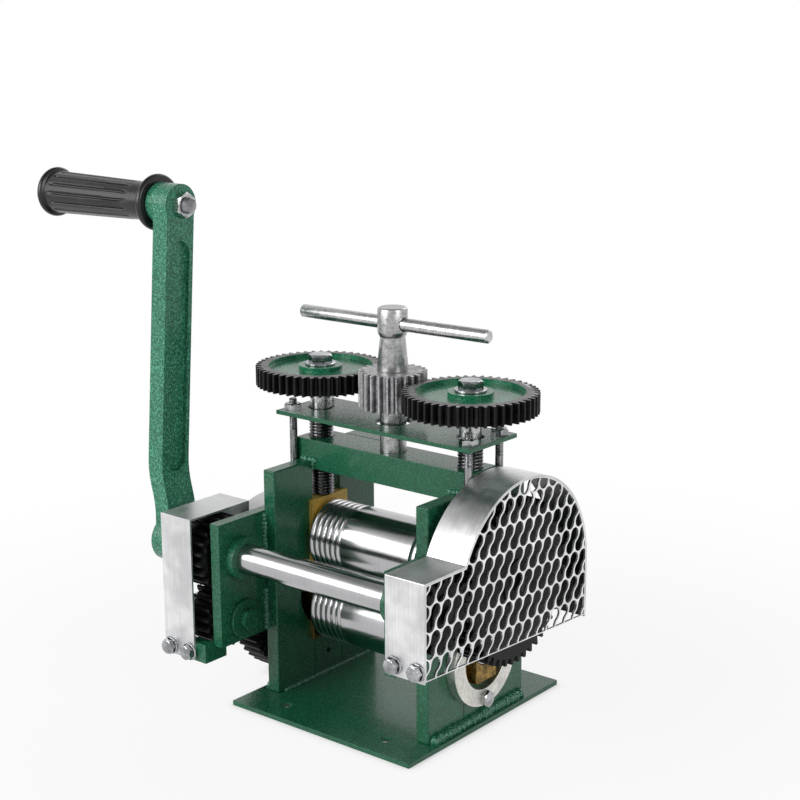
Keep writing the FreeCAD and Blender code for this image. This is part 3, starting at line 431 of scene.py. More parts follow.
# Painted shade: a darker copy of the stud steel, standing for the shade under the press gears.
SHADED_THREAD_STEEL = PlatedMetal("oiled_thread_steel", "turned_steel", tint=(0.12, 0.12, 0.125),
                           shade=(0.05, 0.05, 0.055), sheen=(0.20, 0.32), grain=700.0)
STUD_STEEL = PlatedMetal("drawn_stud_steel", "turned_steel", tint=(0.28, 0.28, 0.29),
                         shade=(0.13, 0.13, 0.14), sheen=(0.22, 0.36), grain=700.0)
GEAR_BLACK = PlatedMetal("blackened_gear_steel", "black_steel", (0.012, 0.012, 0.013), (0.005, 0.005, 0.006),
                         (0.05, 0.05, 0.05), (0.30, 0.46), 420.0, 0.03, metallic=0.0, specular=0.13)
GEAR_LAND = PlatedMetal("bare_gear_steel", "black_steel", (0.46, 0.46, 0.47), (0.24, 0.24, 0.25),
                        sheen=(0.28, 0.44), grain=800.0, grain_depth=0.05, speckle=0.6)
GEAR_RIM = PlatedMetal("rubbed_gear_rim", "black_steel", (0.16, 0.16, 0.165), (0.05, 0.05, 0.052),
                       (0.70, 0.70, 0.70), (0.30, 0.46), 800.0, 0.05, 0.6)
ZINC = PlatedMetal("bright_zinc", tint=(0.50, 0.51, 0.52), shade=(0.26, 0.27, 0.28), sheen=(0.12, 0.24))
RING_ZINC = PlatedMetal("dull_zinc", tint=(0.78, 0.77, 0.72), shade=(0.62, 0.61, 0.57), sheen=(0.34, 0.52),
                        grain=500.0, grain_depth=0.03)
SAWN_BRASS = PlatedMetal("sawn_brass", "brass", (0.36, 0.235, 0.07), (0.13, 0.08, 0.025), (0.60, 0.42, 0.16),
                         (0.36, 0.60), 560.0, 0.4, 1.0)
# Painted shade: near-black brass for the lower blocks' inner faces, as if in the window's shade.
SHADED_BRASS = PlatedMetal("oily_brass", "brass", (0.075, 0.05, 0.02), (0.02, 0.014, 0.007), (0.30, 0.20, 0.08),
                         (0.36, 0.60), 560.0, 0.3, 1.0)
# Painted light: a much brighter brass than the lower blocks', standing for the light falling on the upper
# blocks.
LIT_BLOCK_BRASS = PlatedMetal("milled_brass", "brass", (0.90, 0.55, 0.07), (0.62, 0.36, 0.045),
                          (0.90, 0.66, 0.24), (0.36, 0.60), 720.0, 0.2, 0.6, 0.15)
# Painted shade: this bronze is near black, standing for the shade in the narrow gaps where bushes and washers
# sit.
SHADED_BRONZE = PlatedMetal("oily_bronze", "bronze", (0.016, 0.012, 0.009), (0.008, 0.006, 0.005),
                     (0.03, 0.02, 0.014), (0.35, 0.5), 500.0, 0.03, metallic=0.0, specular=0.3)
RUBBER = MouldedRubber("moulded_rubber")


# ---------------------------------------------------------------- meshes
def piece_from(shape: Shape, name: str, finishes: Sequence[Finish] = (), angle: float = 32.0) -> Piece:
    """Makes an object of a mesh in metres and frees the mesh.

    Args:
        shape: the mesh.
        name: the object's name.
        finishes: what its material slots hold.
        angle: the least turn of an edge that is shaded sharp, in degrees.

    Returns:
        The object, at the origin.
    """
    for face in shape.faces:
        face.smooth = True
    for edge in shape.edges:
        edge.smooth = len(edge.link_faces) == 2 and edge.calc_face_angle(0.0) < math.radians(angle)
    mesh = bpy.data.meshes.new(name)
    shape.to_mesh(mesh)
    shape.free()
    for finish in finishes:
        mesh.materials.append(finish.material())
    piece = bpy.data.objects.new(name, mesh)
    bpy.context.scene.collection.objects.link(piece)
    return piece


def settled(piece: Piece) -> Piece:
    """Turns a piece with all its modifiers into a plain mesh.

    Args:
        piece: the object with live modifiers.

    Returns:
        The same object with the result as its mesh.
    """
    graph = bpy.context.evaluated_depsgraph_get()
    result = bpy.data.meshes.new_from_object(piece.evaluated_get(graph), depsgraph=graph)
    piece.modifiers.clear()
    piece.data = result
    result.name = piece.name
    return piece


def softened(piece: Piece, edge: float, segments: int = 2, angle: float = 32.0, way: str = "ANGLE") -> Piece:
    """Rounds the edges of a piece.

    Args:
        piece: the object.
        edge: width of the rounding, in millimetres.
        segments: how many strips the rounding has.
        angle: the least turn of an edge that is rounded, in degrees.
        way: whether the edges are found by their ANGLE or by their WEIGHT.

    Returns:
        The same object.
    """
    bevel = piece.modifiers.new("rounding", "BEVEL")
    bevel.width = edge * MM
    bevel.segments = segments
    bevel.limit_method = way
    bevel.angle_limit = math.radians(angle)
    bevel.harden_normals = True
    bevel.use_clamp_overlap = True
    return settled(piece)


def node_copy(node: str, pick: Callable[[Face], int] | None = None) -> Shape:
    """Copies a solid's mesh.

    Args:
        node: the node's name.
        pick: gives the number of each face's finish; all have the first one without it.

    Returns:
        The merged copy, with its flats joined.
    """
    shape = bmesh.new()
    shape.from_mesh(frame["nodes"][node].data)
    bmesh.ops.remove_doubles(shape, verts=shape.verts, dist=SAME_PLACE)
    bmesh.ops.dissolve_limit(shape, angle_limit=FLAT_ANGLE, verts=shape.verts, edges=shape.edges)
    for face in shape.faces if pick else ():
        face.material_index = int(pick(face))
    return shape


def stands_for(piece: Piece, node: str) -> None:
    """Lets a piece ride and stand for a node.

    Args:
        piece: the finished piece.
        node: the node that it replaces.
    """
    bodies = frame["record"]["behaviour"]["bodies"]
    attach(piece, next(body for body, nodes in bodies.items() if node in nodes))
    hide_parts(node)
    log.info("%s stands for %s, %d faces", piece.name, node, len(piece.data.polygons))


def dressed(node: str, shape: Shape, *finishes: Finish, angle: float = 32.0, edge: float = 0.0,
            segments: int = 2, way: str = "ANGLE") -> None:
    """Puts a shape in the place of a node.

    Args:
        node: the node's name.
        shape: the mesh in metres.
        *finishes: its finishes, the main one first.
        angle: the least turn of an edge that is shaded sharp, in degrees.
        edge: width of its rounding in millimetres, with none at 0.
        segments: how many strips the rounding has.
        way: how the rounded edges are found.
    """
    piece = piece_from(shape, node + "_dressed", finishes, angle)
    if edge:
        softened(piece, edge, segments, way=way)
    stands_for(piece, node)


def dressed_copy(node: str, edge: float, *finishes: Finish, segments: int = 2,
                 pick: Callable[[Face], int] | None = None) -> None:
    """Replaces a node by its own shape with rounded edges and finishes, picked face by face."""
    dressed(node, node_copy(node, pick), *finishes, edge=edge, segments=segments)


def skin(*rows: Sequence[Vector]) -> Shape:
    """Lays faces over the first and the last of several closed rows of places, and between them.

    Args:
        *rows: rows of places in millimetres; a row of one place closes to a point.

    Returns:
        A closed mesh in metres, with its faces outwards.
    """
    shape = bmesh.new()
    rings = [[shape.verts.new(place * MM) for place in row] for row in rows]
    for ring in (rings[0], rings[-1]):
        if len(ring) > 1:
            shape.faces.new(ring)
    for low, high in zip(rings, rings[1:]):
        for step in range(max(len(low), len(high))):
            corners = dict.fromkeys((low[step % len(low)], low[(step + 1) % len(low)],
                                     high[(step + 1) % len(high)], high[step % len(high)]))
            shape.faces.new(list(corners))
    bmesh.ops.recalc_face_normals(shape, faces=shape.faces)
    return shape


def lathe(outline: Sequence[Pair], axis: Axis = Axis.Z, centre: Triple = (0, 0, 0),
          segments: int = 64) -> Shape:
    """Returns the mesh of an outline, pairs of distance and radius, turned about an axis at a centre."""
    return skin(*[[Vector(centre) + axis.place(distance, radius, FULL_TURN * step / segments)
                   for step in range(segments if radius else 1)] for distance, radius in outline])


def plate(outline: Sequence[Pair], near: float, far: float) -> Shape:
    """Returns a plate with an outline of Y and Z between two places in X."""
    return skin(*[[Vector((x, y, z)) for y, z in outline] for x in (near, far)])


def joined(*shapes: Shape) -> Shape:
    """Adds meshes to the first of them and frees the others.

    Args:
        *shapes: the meshes.

    Returns:
        The first one, with all the others in it.
    """
    whole = shapes[0]
    for shape in shapes[1:]:
        carrier = bpy.data.meshes.new("carrier")
        shape.to_mesh(carrier)
        shape.free()
        whole.from_mesh(carrier)
        bpy.data.meshes.remove(carrier)
    return whole


def moved(shape: Shape, turn: Matrix) -> Shape:
    """Returns the same mesh with its points moved by a matrix."""
    bmesh.ops.transform(shape, matrix=turn, verts=shape.verts)
    return shape


def merged(name: str, pieces: Sequence[Piece]) -> Piece:
    """Makes one piece of several.

    Args:
        name: name of the new piece.
        pieces: the pieces, which are used up; all have the material of the first.

    Returns:
        The one piece.
    """
    shape = bmesh.new()
    for piece in pieces:
        shape.from_mesh(piece.data)
    whole, *others = pieces
    shape.to_mesh(whole.data)
    shape.free()
    for piece in others:
        bpy.data.objects.remove(piece)
    whole.name = whole.data.name = name
    return whole


def hex_head(flats: float, height: float, base: float = 0.0, rounding: float = 0.8) -> Shape:
    """Hexagon along Z whose upper corners are turned away, as on a real bolt head.

    Args:
        flats: half the width over the flats, in millimetres.
        height: its height.
        base: height of its foot.
        rounding: how far the corners are cut down.

    Returns:
        The mesh in metres.
    """
    steps = 48
    half_flat = math.radians(30)
    corner = flats / math.cos(half_flat)
    top, shoulder = base + height, base + height - rounding
    rings = []
    for level, reach in ((base, corner), (shoulder, corner), (top, flats * 0.93), (top, flats * 0.80)):
        ring = []
        for step in range(steps):
            angle = FULL_TURN * step / steps
            radius = min(flats / math.cos((angle + half_flat) % (2 * half_flat) - half_flat), reach)
            rise = rounding * 0.8 * (1 - (radius - flats) / (corner - flats)) if level == shoulder else 0.0
            ring.append(Vector((radius * math.cos(angle), radius * math.sin(angle), level + rise)))
        rings.append(ring)
    return skin(*rings)


def threaded_rod(radius: float, pitch: float, depth: float, low: float, high: float, x: float = 0.0,
                 around: int = 28) -> Shape:
    """Rod along Z with a helical thread and chamfered ends.

    Args:
        radius: outer radius of the thread, in millimetres.
        pitch: its rise in a turn.
        depth: depth of the thread.
        low: height of the rod's lower end.
        high: height of its upper end.
        x: where its axis stands.
        around: how many steps a turn has.

    Returns:
        The mesh in metres.
    """
    root = radius - depth
    levels = max(2, int((high - low) / pitch * THREAD_LEVELS))
    rows = []
    for level in range(levels + 1):
        z = low + (high - low) * level / levels
        row = []
        for step in range(around):
            crest = 1 - abs(2 * ((z / pitch - step / around) % 1.0) - 1)
            reach = min(radius - depth * (1 - min(1.0, crest * 1.25)), root + high - z, root + z - low)
            angle = FULL_TURN * step / around
            row.append(Vector((x + reach * math.cos(angle), reach * math.sin(angle), z)))
        rows.append(row)
    return skin(*rows)


# ---------------------------------------------------------------- geometry trees
class ShapeTree(NodeBoard):
    """Geometry node tree with named inputs, which ends in plain faces of one material."""

    family = "GeometryNode"

    def __init__(self, name: str, **kinds: str) -> None:
        """Args:
            name: the tree's name.
            **kinds: names of its inputs and the kind of each.
        """
        super().__init__(bpy.data.node_groups.new(name, "GeometryNodeTree"))
        for way in ("INPUT", "OUTPUT"):
            self.tree.interface.new_socket("Geometry", in_out=way, socket_type="NodeSocketGeometry")
        for word, kind in {**kinds, "Finish": "Material"}.items():
            self.tree.interface.new_socket(word, in_out="INPUT", socket_type="NodeSocket" + kind)
        self.entry = self.put("NodeGroupInput")
        self.sizes = [self.entry[word] for word in kinds]

    def close(self, geometry: Socket, smooth: bool | None = True) -> "ShapeTree":
        """Ends the tree in plain faces with the material of its Finish input.

        Args:
            geometry: what the tree has made.
            smooth: whether its faces are shaded smooth; None leaves that as it is.

        Returns:
            The finished tree.
        """
        plain = self.put("RealizeInstances", {"Geometry": geometry})[0]
        if smooth is not None:
            plain = self.put("SetShadeSmooth", {"Geometry": plain, "Shade Smooth": smooth})[0]
        painted = self.put("SetMaterial", {"Geometry": plain, "Material": self.entry["Finish"]})[0]
        self.put("NodeGroupOutput", {"Geometry": painted})
        return self

    def grow(self, name: str, start: Shape, finish: Finish, **sizes: object) -> Piece:
        """Runs the tree on a shape.

        Args:
            name: name of the new piece.
            start: points, edges or faces that the tree starts from.
            finish: the material for its Finish input.
            **sizes: values of its named inputs.

        Returns:
            The piece as a plain mesh.
        """
        piece = piece_from(start, name)
        modifier = piece.modifiers.new("growth", "NODES")
        modifier.node_group = self.tree
        entries = self.tree.interface.items_tree
        keys = {entry.name: entry.identifier for entry in entries if entry.in_out == "INPUT"}
        for word, value in {**sizes, "Finish": finish.material()}.items():
            modifier[keys[word]] = value
        settled(piece)
        if not piece.data.materials:
            piece.data.materials.append(finish.material())
        return piece


@cache
def fastener_tree() -> ShapeTree:
    """Returns the tree that stands a fastener on each point, each turned by its own angle."""
    tree = ShapeTree("fasteners", Pattern="Object", Stand="Rotation", Spread="Float", Seed="Int")
    pattern, stand, spread, seed = tree.sizes
    shape = tree.put("ObjectInfo", {"Object": pattern})["Geometry"]
    turn = tree.put("FunctionNodeRandomValue", {"Max": spread, "Seed": seed}, data_type="FLOAT")[1]
    own = tree.put("ShaderNodeCombineXYZ", {"Z": turn})[0]
    turned = tree.put("FunctionNodeRotateRotation", {0: stand, 1: own}, rotation_space="LOCAL")[0]
    points = tree.put("MeshToPoints", {"Mesh": tree.entry["Geometry"]})[0]
    rows = tree.put("InstanceOnPoints", {"Points": points, "Instance": shape, "Rotation": turned})[0]
    return tree.close(rows, smooth=None)


@cache
def weld_tree() -> ShapeTree:
    """Returns the tree that lays overlapping drops of weld along edges."""
    tree = ShapeTree("weld_bead", Width="Float", Step="Float", Seed="Int")
    width, step, seed = tree.sizes
    line = tree.put("MeshToCurve", {"Mesh": tree.entry["Geometry"]})[0]
    drops = tree.put("CurveToPoints", {"Curve": line, "Length": step}, mode="LENGTH")
    drop = tree.put("MeshUVSphere", {"Segments": 12, "Rings": 7, "Radius": 1.0})["Mesh"]
    uneven = tree.put("FunctionNodeRandomValue", {2: 0.82, 3: 1.15, "Seed": seed}, data_type="FLOAT")[1]
    across = tree.times(width, uneven)
    size = tree.put("ShaderNodeCombineXYZ", {"X": across, "Y": across, "Z": tree.times(step, 0.95)})[0]
    return tree.close(tree.put("InstanceOnPoints", {"Points": drops["Points"], "Instance": drop,
                                                    "Rotation": drops["Rotation"], "Scale": size})[0])


@cache
def perforation_tree() -> ShapeTree:
    """Returns the tree that punches staggered rows of slots into a blank of sheet.

    The slot's outline comes as an object in the plane of the sheet. A second blank,
    smaller by the rim, keeps the slots away from the edge.
    """
    tree = ShapeTree("perforation", Slot="Object", Field="Object", Start="Vector", Pitch="Vector", Rows="Int",
                     Columns="Int", Fall="Float")
    slot, field, start, pitch, rows, columns, fall = tree.sizes
    line = tree.put("MeshLine", {"Count": tree.times(rows, columns)})[0]
    number = tree.put("InputIndex")[0]
    row = tree.math("FLOOR", tree.math("DIVIDE", number, columns))
    column = tree.math("SUBTRACT", number, tree.times(row, columns))
    parts = tree.put("ShaderNodeSeparateXYZ", {0: pitch})
    run = tree.times(column, parts["Y"])
    sunk = tree.math("SUBTRACT", tree.times(row, parts["Z"]), tree.times(run, fall))
    local = tree.put("ShaderNodeCombineXYZ", {"Y": run, "Z": sunk})[0]
    place = tree.put("ShaderNodeVectorMath", {0: start, 1: local}, operation="ADD")[0]
    points = tree.put("SetPosition", {"Geometry": line, "Position": place})[0]
    punch, inner = [tree.put("ObjectInfo", {"Object": shape})["Geometry"] for shape in (slot, field)]
    punches = tree.put("InstanceOnPoints", {"Points": points, "Instance": punch})[0]
    plain = tree.put("RealizeInstances", {"Geometry": punches})[0]
    kept = tree.put("MeshBoolean", {"Mesh 2": [plain, inner]}, operation="INTERSECT", solver="EXACT")[0]
    cut = tree.put("MeshBoolean", {"Mesh 1": tree.entry["Geometry"], "Mesh 2": kept}, operation="DIFFERENCE",
                   solver="EXACT")[0]
    return tree.close(cut, smooth=False)


@cache
def ribbed_barrel_tree() -> ShapeTree:
    """Returns the tree that bends a flat grid to a barrel with rounded ribs.

    The grid's X runs along the barrel and its Y once round it, both from 0 to 1.
    """
    words = ("Length", "Thin", "Thick", "Ribs", "Depth", "Plain")
    tree = ShapeTree("ribbed_barrel", **dict.fromkeys(words, "Float"))
    length, thin, thick, ribs, depth, plain = tree.sizes
    parts = tree.put("ShaderNodeSeparateXYZ", {0: tree.put("InputPosition")[0]})
    along = parts["X"]
    angle = tree.times(parts["Y"], FULL_TURN)
    furrow = tree.ranged(tree.math("COSINE", tree.times(angle, ribs)), 0.0, 1.0, 0.45, 1.0, "SMOOTHSTEP")
    start = tree.ranged(along, 0.0, 1.0, plain, tree.math("ADD", plain, 0.03))
    stop = tree.ranged(along, 0.0, 1.0, 0.96, 0.93)
    cut = tree.times(tree.times(start, stop), tree.times(furrow, depth))
    radius = tree.math("SUBTRACT", tree.ranged(along, thin, thick, 0.0, 1.0), cut)
    bent = tree.put("ShaderNodeCombineXYZ", {
        "X": tree.times(tree.times(along, length), -1.0),
        "Y": tree.times(radius, tree.math("COSINE", angle)),
        "Z": tree.times(radius, tree.math("SINE", angle))})[0]
    barrel = tree.put("SetPosition", {"Geometry": tree.entry["Geometry"], "Position": bent})[0]
    return tree.close(tree.put("MergeByDistance", {"Geometry": barrel, "Distance": SAME_PLACE})[0])


def fasteners(name: str, pattern: Shape, places: Sequence[Triple], stand: Triple, finish: Finish, seed: int,
              spread: float = math.pi / 3) -> Piece:
    """Stands one fastener on each place.

    Args:
        name: name of the new piece.
        pattern: one fastener along Z, with its seat at the origin.
        places: where the seats are, in millimetres.
        stand: turns that bring Z to the fasteners' axis.
        finish: their finish.
        seed: seed of their turns.
        spread: the largest turn of one of them about its axis.

    Returns:
        The piece with all of them.
    """
    one = piece_from(pattern, name + "_pattern", angle=FASTENER_ANGLE)
    softened(one, FASTENER_EDGE, angle=FASTENER_ANGLE)
    seats = bmesh.new()
    for place in places:
        seats.verts.new(Vector(place) * MM)
    rows = fastener_tree().grow(name, seats, finish, Pattern=one, Stand=Euler(stand), Spread=spread,
                                Seed=seed)
    bpy.data.objects.remove(one)
    return rows


# ---------------------------------------------------------------- sub-assemblies
@dataclass
class WeldedFrame:
    """Base, posts, saddles, crossbar, shaft brackets and the weld beads between them."""

    wall_inner: float = 54.5
    wall_outer: float = 63.5
    wall_half_depth: float = 47.0
    wall_top: float = 146.2
    base_top: float = 3.0
    slot_half: float = 12.5
    bar_bottom: float = 140.4
    bar_top: float = 159.0
    bracket_top: float = 120.5
    bracket_bottoms: Pair = (43.0, 60.0)

    def build(self) -> None:
        """Dresses the plates and lays the beads."""
        for node, edge in (("base_plate", 0.5), ("crossbar", 0.8), ("crossbar_tab", 0.6)):
            dressed_copy(node, edge, GREEN, segments=3)
        for side in Side:
            for node in ("front_post_", "rear_post_", "window_saddle_", "shaft_bracket_"):
                dressed_copy(node + side.word, 0.8, GREEN, segments=3)
            # The bush's bore is near-black bronze as painted shade; its faces are green paint.
            dressed_copy("shaft_bush_" + side.word, 0.3, SHADED_BRONZE, GREEN,
                         pick=lambda face: abs(face.normal.x) > 0.7)
        self.beads()

    def beads(self) -> None:
        """Lays every weld bead of the frame."""
        deep, foot, top = self.wall_half_depth, self.base_top, self.wall_top
        heavy, lumpy, fine = [], [], []
        for side, low in zip(Side, self.bracket_bottoms):
            sign = side.value
            inner, outer = sign * self.wall_inner, sign * self.wall_outer
            x, z = sign * (self.wall_outer + 0.8), foot + 1.2
            heavy.append(((x, 4 - deep, z), (x, deep - 4, z)))
            fine.append(((inner, 6 - deep, foot), (inner, deep - 8, foot)))
            for start, end in ((low + 3, low + 26), (self.bracket_top - 24, self.bracket_top - 3)):
                lumpy.append(((outer, -deep, start), (outer, -deep, end)))
            for y in (-self.slot_half, self.slot_half):
                lumpy.append(((outer - sign * 1.5, y, top), (inner - sign * 1.5, y, top)))
                fine.append(((inner, y, self.bar_bottom + 1), (inner, y, top - 0.5)))
        y, z = self.slot_half, self.bar_top - 4.0
        fine.append(((-47.5, y, z), (-11.5, y, z)))
        for name, runs, width, step, seed in (("heavy_weld_beads", heavy, 3.5, 2.6, 11),
                                              ("lumpy_weld_beads", lumpy, 2.5, 2.4, 13),
                                              ("fine_weld_beads", fine, 1.8, 1.5, 12)):
            lines = bmesh.new()
            for ends in runs:
                lines.edges.new([lines.verts.new(Vector(end) * MM) for end in ends])
            # Beads take the lighter green as painted highlight.
            piece = weld_tree().grow(name, lines, GLINTING_WELD_GREEN, Width=width * MM, Step=step * MM, Seed=seed)
            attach(piece, "frame")
            log.info("%s, %d faces", name, len(piece.data.polygons))


@dataclass
class Bearings:
    """Brass blocks, retainer rings with their bolts, and thrust washers."""

    ring_face: float = 70.3
    ring_height: float = 44.5
    bolt_circle: float = 26.5
    first_bolt: float = -90.0
    bolt_count: int = 3
    head_flats: float = 4.6
    head_height: float = 3.0

    def build(self) -> None:
        """Dresses the blocks and rings and puts the bolts on."""
        for side in Side:
            # The lower blocks' inner faces, towards the rolls, get the near-black brass as painted shade.
            dressed_copy("lower_bearing_block_" + side.word, 0.5, SAWN_BRASS, SHADED_BRASS,
                         pick=lambda face, sign=side.value: sign * face.normal.x < -0.7)
            # The upper blocks get the brighter brass as painted light.
            dressed_copy("upper_bearing_block_" + side.word, 0.5, LIT_BLOCK_BRASS)
            dressed_copy("retainer_ring_" + side.word, 0.6, RING_ZINC, segments=3)
        # Thrust washers get the near-black bronze as painted shade.
        for node in ("lower_thrust_washers", "upper_thrust_washers"):
            dressed_copy(node, 0.15, SHADED_BRONZE)
        halves = []
        for side in Side:
            head = hex_head(self.head_flats, self.head_height)
            halves.append(fasteners("ring_bolts_" + side.word, head, self.bolt_places(side),
                                    (0, side.value * math.pi / 2, 0), ZINC, 21 + side.value))
        stands_for(merged("retainer_bolts_dressed", halves), "retainer_bolts")

    def bolt_places(self, side: Side) -> list[Triple]:
        """Returns the seats of one ring's bolts, on the outside of the wall at that side."""
        angles = [math.radians(self.first_bolt + 360 * number / self.bolt_count)
                  for number in range(self.bolt_count)]
        return [(side.value * self.ring_face, self.bolt_circle * math.cos(angle),
                 self.ring_height + self.bolt_circle * math.sin(angle)) for angle in angles]


@dataclass
class RollPair:
    """The two ground rolls with their grooves and journals."""

    radius: float = 22.5
    half_length: float = 50.0
    edge: float = 1.2
    lower_height: float = 50.8
    upper_height: float = 96.0
    journal: float = 11.0
    journal_rim: float = 0.6
    seat: float = 10.0
    shoulder: float = 70.7
    gear_end: float = 92.0
    pitch: float = 4.2
    equal_count: int = 6
    equal_depth: float = 1.4
    equal_half: float = 1.7
    equal_steps: int = 8
    graded: tuple[float, ...] = (0.8, 1.0, 1.2, 1.4, 1.6)
    groove_floor: float = 0.12
    around: int = 112

    def journal_steps(self, end: float) -> list[Pair]:
        """Draws a journal from the roll outwards.

        Args:
            end: distance of its end from the roll's middle.

        Returns:
            Pairs of distance and radius.
        """
        radius = self.journal if end <= self.shoulder else self.seat
        line = [(end - self.journal_rim, radius), (end, radius - self.journal_rim), (end, 0)]
        if radius == self.journal:
            return line
        return [(self.shoulder, self.journal), (self.shoulder, radius)] + line

    def outline(self, left_end: float, right_end: float) -> list[Pair]:
        """Draws a roll with equal grooves at its left and graded ones at its right.

        Args:
            left_end: distance of the left journal's end from the middle.
            right_end: distance of the right journal's end.

        Returns:
            Pairs of place and radius from its left end to its right end.
        """
        half, edge, radius = self.half_length, self.edge, self.radius
        first = half - edge - self.pitch / 2
        rim = [(half - edge, radius), (half - edge * 0.3, radius - edge * 0.3), (half, radius - edge),
               (half, self.journal)]
        line = [(-x, r) for x, r in reversed(rim + self.journal_steps(left_end))]
        for number in range(self.equal_count):
            middle = number * self.pitch - first
            for step in range(self.equal_steps + 1):
                turn = math.pi * step / self.equal_steps
                line.append((middle - self.equal_half * math.cos(turn),
                             radius - self.equal_depth * math.sin(turn)))
        for number, depth in reversed(list(enumerate(self.graded))):
            middle = first - number * self.pitch
            line += [(middle + across, radius - cut) for across, cut in (
                (-depth, 0), (-self.groove_floor, depth), (self.groove_floor, depth), (depth, 0))]
        return line + rim + self.journal_steps(right_end)

    def build(self) -> None:
        """Turns both rolls."""
        for node, height, ends in (("lower_roll", self.lower_height, (self.gear_end, 70.3)),
                                   ("upper_roll", self.upper_height, (69.7, self.gear_end))):
            dressed(node, lathe(self.outline(*ends), Axis.X, (0, 0, height), self.around), ROLL_STEEL,
                    angle=25.0)


@dataclass
class DriveTrain:
    """Crank shaft, pinions, idler and the large gears of the rolls."""

    shaft_y: float = -68.99
    shaft_height: float = 97.0
    shaft_radius: float = 9.0
    shaft_left: float = -125.5
    shaft_right: float = 92.0
    shaft_rim: float = 0.8

    def build(self) -> None:
        """Dresses the shaft, the gears, the washers and the bolts."""
        left, right, radius, rim = self.shaft_left, self.shaft_right, self.shaft_radius, self.shaft_rim
        shaft = lathe([(left, 0), (left, radius - rim), (left + rim, radius), (right - rim, radius),
                       (right, radius - rim), (right, 0)], Axis.X, (0, self.shaft_y, self.shaft_height), 80)
        dressed("front_shaft", shaft, ROLL_STEEL)
        for node in ("drive_pinion_left", "drive_pinion_right", "idler_gear", "lower_roll_gear",
                     "upper_roll_gear"):
            dressed_copy(node, 0.25, GEAR_BLACK)
        for node in ("shaft_end_bolt", "lower_roll_end_bolt", "upper_roll_end_bolt"):
            dressed_copy(node, 0.35, GEAR_BLACK)
        for node in ("idler_stud", "idler_washer"):
            dressed_copy(node, 0.5, SMOOTH_GREEN, segments=3)


